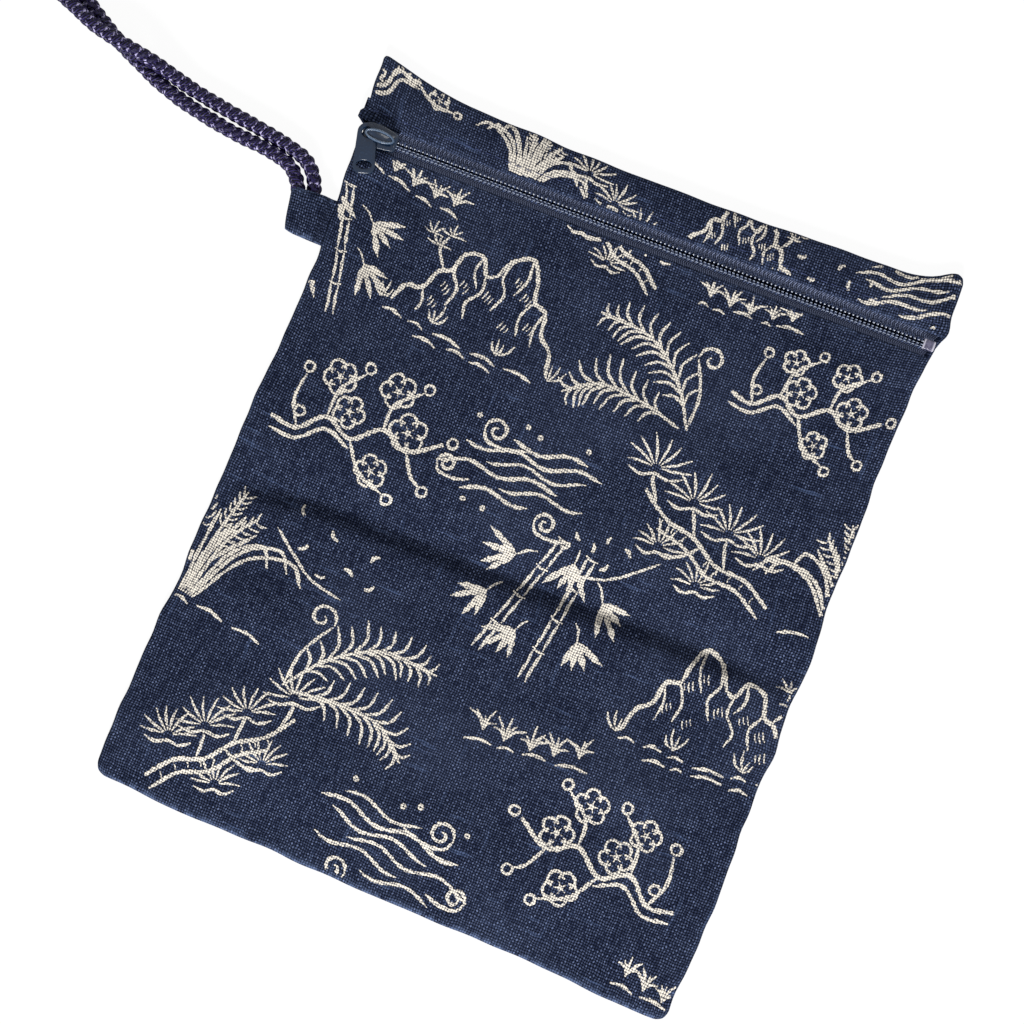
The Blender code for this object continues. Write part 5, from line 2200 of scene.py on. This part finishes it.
@dataclass
class Studio:
    """The pale floor, the soft lamps and the camera."""

    centre: tuple[float, float] = (-0.003358, 0.00527)
    turn: float = math.radians(20.67)
    field: float = 0.2939
    lens: float = 85.0
    subject_top: float = 0.004
    floor_reach: float = 3.0
    floor_drop: float = 0.0002
    floor_glow: float = 1.06
    floor_share: float = 0.88
    surround: float = 0.26

    def build(self) -> None:
        """Sets the scene round the pouch."""
        scene = bpy.context.scene
        scene.view_settings.view_transform = "Standard"
        self.add_floor()
        self.add_world(scene)
        self.add_camera(scene)
        self.add_lamp("key", (0.26, -1.50, 0.88), 0.50, 46.0)
        self.add_lamp("fill", (-0.10, 0.75, 0.60), 0.25, 1.5)

    def add_camera(self, scene: bpy.types.Scene) -> None:
        """A long lens looking straight down, turned so that the pouch leans as it does in the picture.

        Args:
            scene: the scene that it looks at.
        """
        data = bpy.data.cameras.new("camera")
        data.lens = self.lens
        data.clip_start = 0.01
        camera = bpy.data.objects.new("camera", data)
        scene.collection.objects.link(camera)
        distance = self.field * self.lens / data.sensor_width
        camera.location = (*self.centre, distance + self.subject_top)
        camera.rotation_euler = (0, 0, self.turn)
        scene.camera = camera

    def add_floor(self) -> None:
        """A wide white table top, which shows nearly white to the camera and keeps a soft shadow."""
        mesh = bpy.data.meshes.new("floor")
        corners = ((-1, -1), (1, -1), (1, 1), (-1, 1))
        points = [(x * self.floor_reach, y * self.floor_reach, 0) for x, y in corners]
        mesh.from_pydata(points, [], [(0, 1, 2, 3)])
        floor = place("floor", mesh)
        floor.location.z = -self.floor_drop
        material = bpy.data.materials.new("white_table")
        material.use_nodes = True
        tree = material.node_tree
        shader = tree.nodes["Principled BSDF"]
        shader.inputs["Base Color"].default_value = (0.86, 0.86, 0.86, 1)
        shader.inputs["Roughness"].default_value = 0.9
        seen = add_node(tree, "ShaderNodeLightPath").outputs["Is Camera Ray"]
        glow = add_node(tree, "ShaderNodeEmission", {"Color": (1, 1, 1, 1), "Strength": self.floor_glow})
        share = add_node(tree, "ShaderNodeMath", {0: seen, 1: self.floor_share}, operation="MULTIPLY")
        mixed = add_node(tree, "ShaderNodeMixShader", {0: share, 1: shader.outputs[0], 2: glow})
        tree.links.new(mixed.outputs[0], tree.nodes["Material Output"].inputs[0])
        mesh.materials.append(material)

    def add_world(self, scene: bpy.types.Scene) -> None:
        """An even white surround that lights the pouch softly.

        Args:
            scene: the scene that it surrounds.
        """
        world = bpy.data.worlds.new("surround")
        world.use_nodes = True
        tree = world.node_tree
        tree.nodes.clear()
        path = add_node(tree, "ShaderNodeLightPath")
        kinds = ("Is Camera Ray", "Is Glossy Ray", "Is Transmission Ray")
        camera, glossy, through = (Field(tree, path.outputs[kind]) for kind in kinds)
        bright = camera.math("MAXIMUM", glossy).math("MAXIMUM", through)
        strength = bright * (1 - self.surround) + self.surround
        background = add_node(tree, "ShaderNodeBackground", {"Color": (1, 1, 1, 1), "Strength": strength})
        add_node(tree, "ShaderNodeOutputWorld", {0: background})
        scene.world = world

    def add_lamp(self, name: str, at: tuple[float, float, float], size: float, power: float) -> None:
        """A soft square lamp aimed at the middle of the pouch.

        Args:
            name: its name.
            at: where it hangs.
            size: the length of its side.
            power: its power, in watts.
        """
        data = bpy.data.lights.new(name, "AREA")
        data.size = size
        data.energy = power
        lamp = bpy.data.objects.new(name, data)
        bpy.context.scene.collection.objects.link(lamp)
        lamp.location = at
        aim = Vector((self.centre[0], self.centre[1], 0)) - Vector(at)
        lamp.rotation_euler = aim.to_track_quat("-Z", "Y").to_euler()


FOLDS = (
    Fold((-0.0810, 0.0760), (-0.0310, 0.0590), 0.0022, 0.00055),
    Fold((0.0340, 0.0790), (0.0800, 0.0745), 0.0030, 0.00085),
    Fold((-0.0180, 0.0440), (0.0820, 0.0310), 0.0070, 0.00090),
    Fold((-0.0860, -0.0420), (-0.0440, -0.0540), 0.0075, 0.00100),
    Fold((0.0060, -0.0660), (0.0780, -0.0560), 0.0080, 0.00100),
    Fold((-0.0780, 0.0500), (-0.0500, 0.0480), 0.0040, 0.00040),
    Fold((-0.0250, 0.0765), (0.0300, 0.0770), 0.0028, 0.00035),
    Fold((-0.0080, 0.1000), (0.0300, 0.1010), 0.0025, 0.00022),
    Fold((-0.0600, -0.0870), (0.0100, -0.0900), 0.0080, 0.00050),
    Fold((0.0300, 0.0080), (0.0850, 0.0020), 0.0060, 0.00040),
)

# The finishes. Each is named for the real material, and its note says how that is made and what the eye gets.

# Dyed cotton, plain-woven from yarn of uneven thickness: single threads with painted shade in the gaps
# between them, painted highlights on their crowns, and paler dashes where a thick length of yarn runs on top.
# Its edges are paler, partly from fading and partly from a painted highlight along the folded bottom edge.
# The threads are drawn
# 0.75 mm apart, as coarse as they need to be to show.
NAVY_COTTON = WovenCotton("navy_slub_cotton", "#05070d", "#222940", "#697698", "#586b93", "#6b7da3")
# Polyester tape, woven tight from filament yarn: slanting ribs that meet in a herringbone, flatter and
# cleaner than the cotton, with painted highlights on their crests. The ribs are drawn 0.64 mm apart, coarser
# than real ones, so that they show.
NAVY_TAPE = WovenTape("navy_polyester_tape", "#1a2140", "#bccaf2")
# Nylon wire, drawn and coiled: smooth turns with a soft gloss and a slight cloud of dye.
NAVY_NYLON = Nylon("navy_nylon_coil", "#1e2740", "#3c4a6c", 0.30, shine=0.35)
# Clear nylon, moulded over the tapes' ends: a milky block that shows the dark zip through its thin middle and
# is pale at its two thick ends.
CLEAR_NYLON = Nylon("clear_nylon_stop", "#4c4965", "#7b7894", 0.20, 0.25, 0.5, "#dcd9ea", 0.0917, 0.0017)
# Paint baked on a zinc casting: a smooth, glossy coat with orange peel and pale spots, partly scuffed and
# partly painted highlight. The bridge's rim paint is a painted highlight all over.
NAVY_PAINT = PaintedCasting("slate_navy_paint", "#11233a", "#2a4059")
HIGHLIGHT_RIM_PAINT = PaintedCasting("slate_paint_rim_highlight", "#4a5c73", "#b4c1d0")
# Polyester filament yarn, braided round: dark strands with a silky sheen, fine lines of twist along them and
# a gleam where a strand dips under the next.
CORD_YARN = TwistedThread("purple_navy_yarn", "#07060f", "#383065", "#bdb6e0", 1.0, 0.30)
# Spun polyester sewing thread: dull, with slanting plies. They are drawn 0.28 mm apart, coarser than real
# ones, so that they show.
# The pale coil thread is a painted highlight on the coil heads.
COIL_THREADS = {
    True: SewnThread("coil_thread_painted_highlight", "#9aa6bd", "#f2f5fb"),
    False: SewnThread("slate_coil_thread", "#5b6983", "#c6d0e4"),
}
TOP_THREAD = SewnThread("dark_blue_topstitch_thread", "#131b36", "#3a4a7c")


def main() -> None:
    """Builds the pouch piece by piece."""
    logging.basicConfig(level=logging.INFO, format="%(message)s")
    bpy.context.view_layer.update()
    Studio().build()
    form = PouchForm(folds=FOLDS)

    cord = WristCord(form)
    cord_piece = cord.build(CORD_YARN)
    cord.declare(cord_piece)
    log.info("wrist cord: %d faces", len(cord_piece.data.polygons))

    cloth = OuterCloth(form, NAVY_COTTON)
    cloth_piece = cloth.build()
    cloth.declare(cloth_piece)
    log.info("outer cloth: %d faces", len(cloth_piece.data.polygons))

    line_print = LinePrint(form, NAVY_COTTON, {Face.FRONT: FRONT_SPOTS + BAND_SPOTS, Face.BACK: FRONT_SPOTS})
    print_piece = line_print.build(cloth_piece)
    line_print.declare(print_piece)
    log.info("line print: %d faces", len(print_piece.data.polygons))

    stitches = stitch_pattern()
    zipper = CoilZip(form)
    zipper.build(NAVY_NYLON, COIL_THREADS, stitches)
    log.info("zip: %d pieces", len(zipper.parts))
    TopStitch(form).build(cloth_piece, TOP_THREAD, stitches)

    tab = CordTab(form)
    tab.declare(tab.build(NAVY_COTTON))
    log.info("cord tab done")

    tape = NAVY_TAPE.material()
    for name in ("zip_tape_upper", "zip_tape_lower"):
        TapeStrip(name).build(tape)
    paint = NAVY_PAINT.material()
    Hardware("slider_body", "slider", "slider_paint", 0.00022).build(paint)
    # The rim's pale paint is a painted highlight.
    BridgeRim(form).build(HIGHLIGHT_RIM_PAINT.material())
    Hardware("pull_tab", "pull", "slider_paint", 0.00022).build(paint)
    Hardware("bottom_stop", "pouch", "clear_stop", 0.00035).build(CLEAR_NYLON.material())
    log.info("slider, pull and stop done")

    log.info("done")


if __name__ == "__main__":
    main()
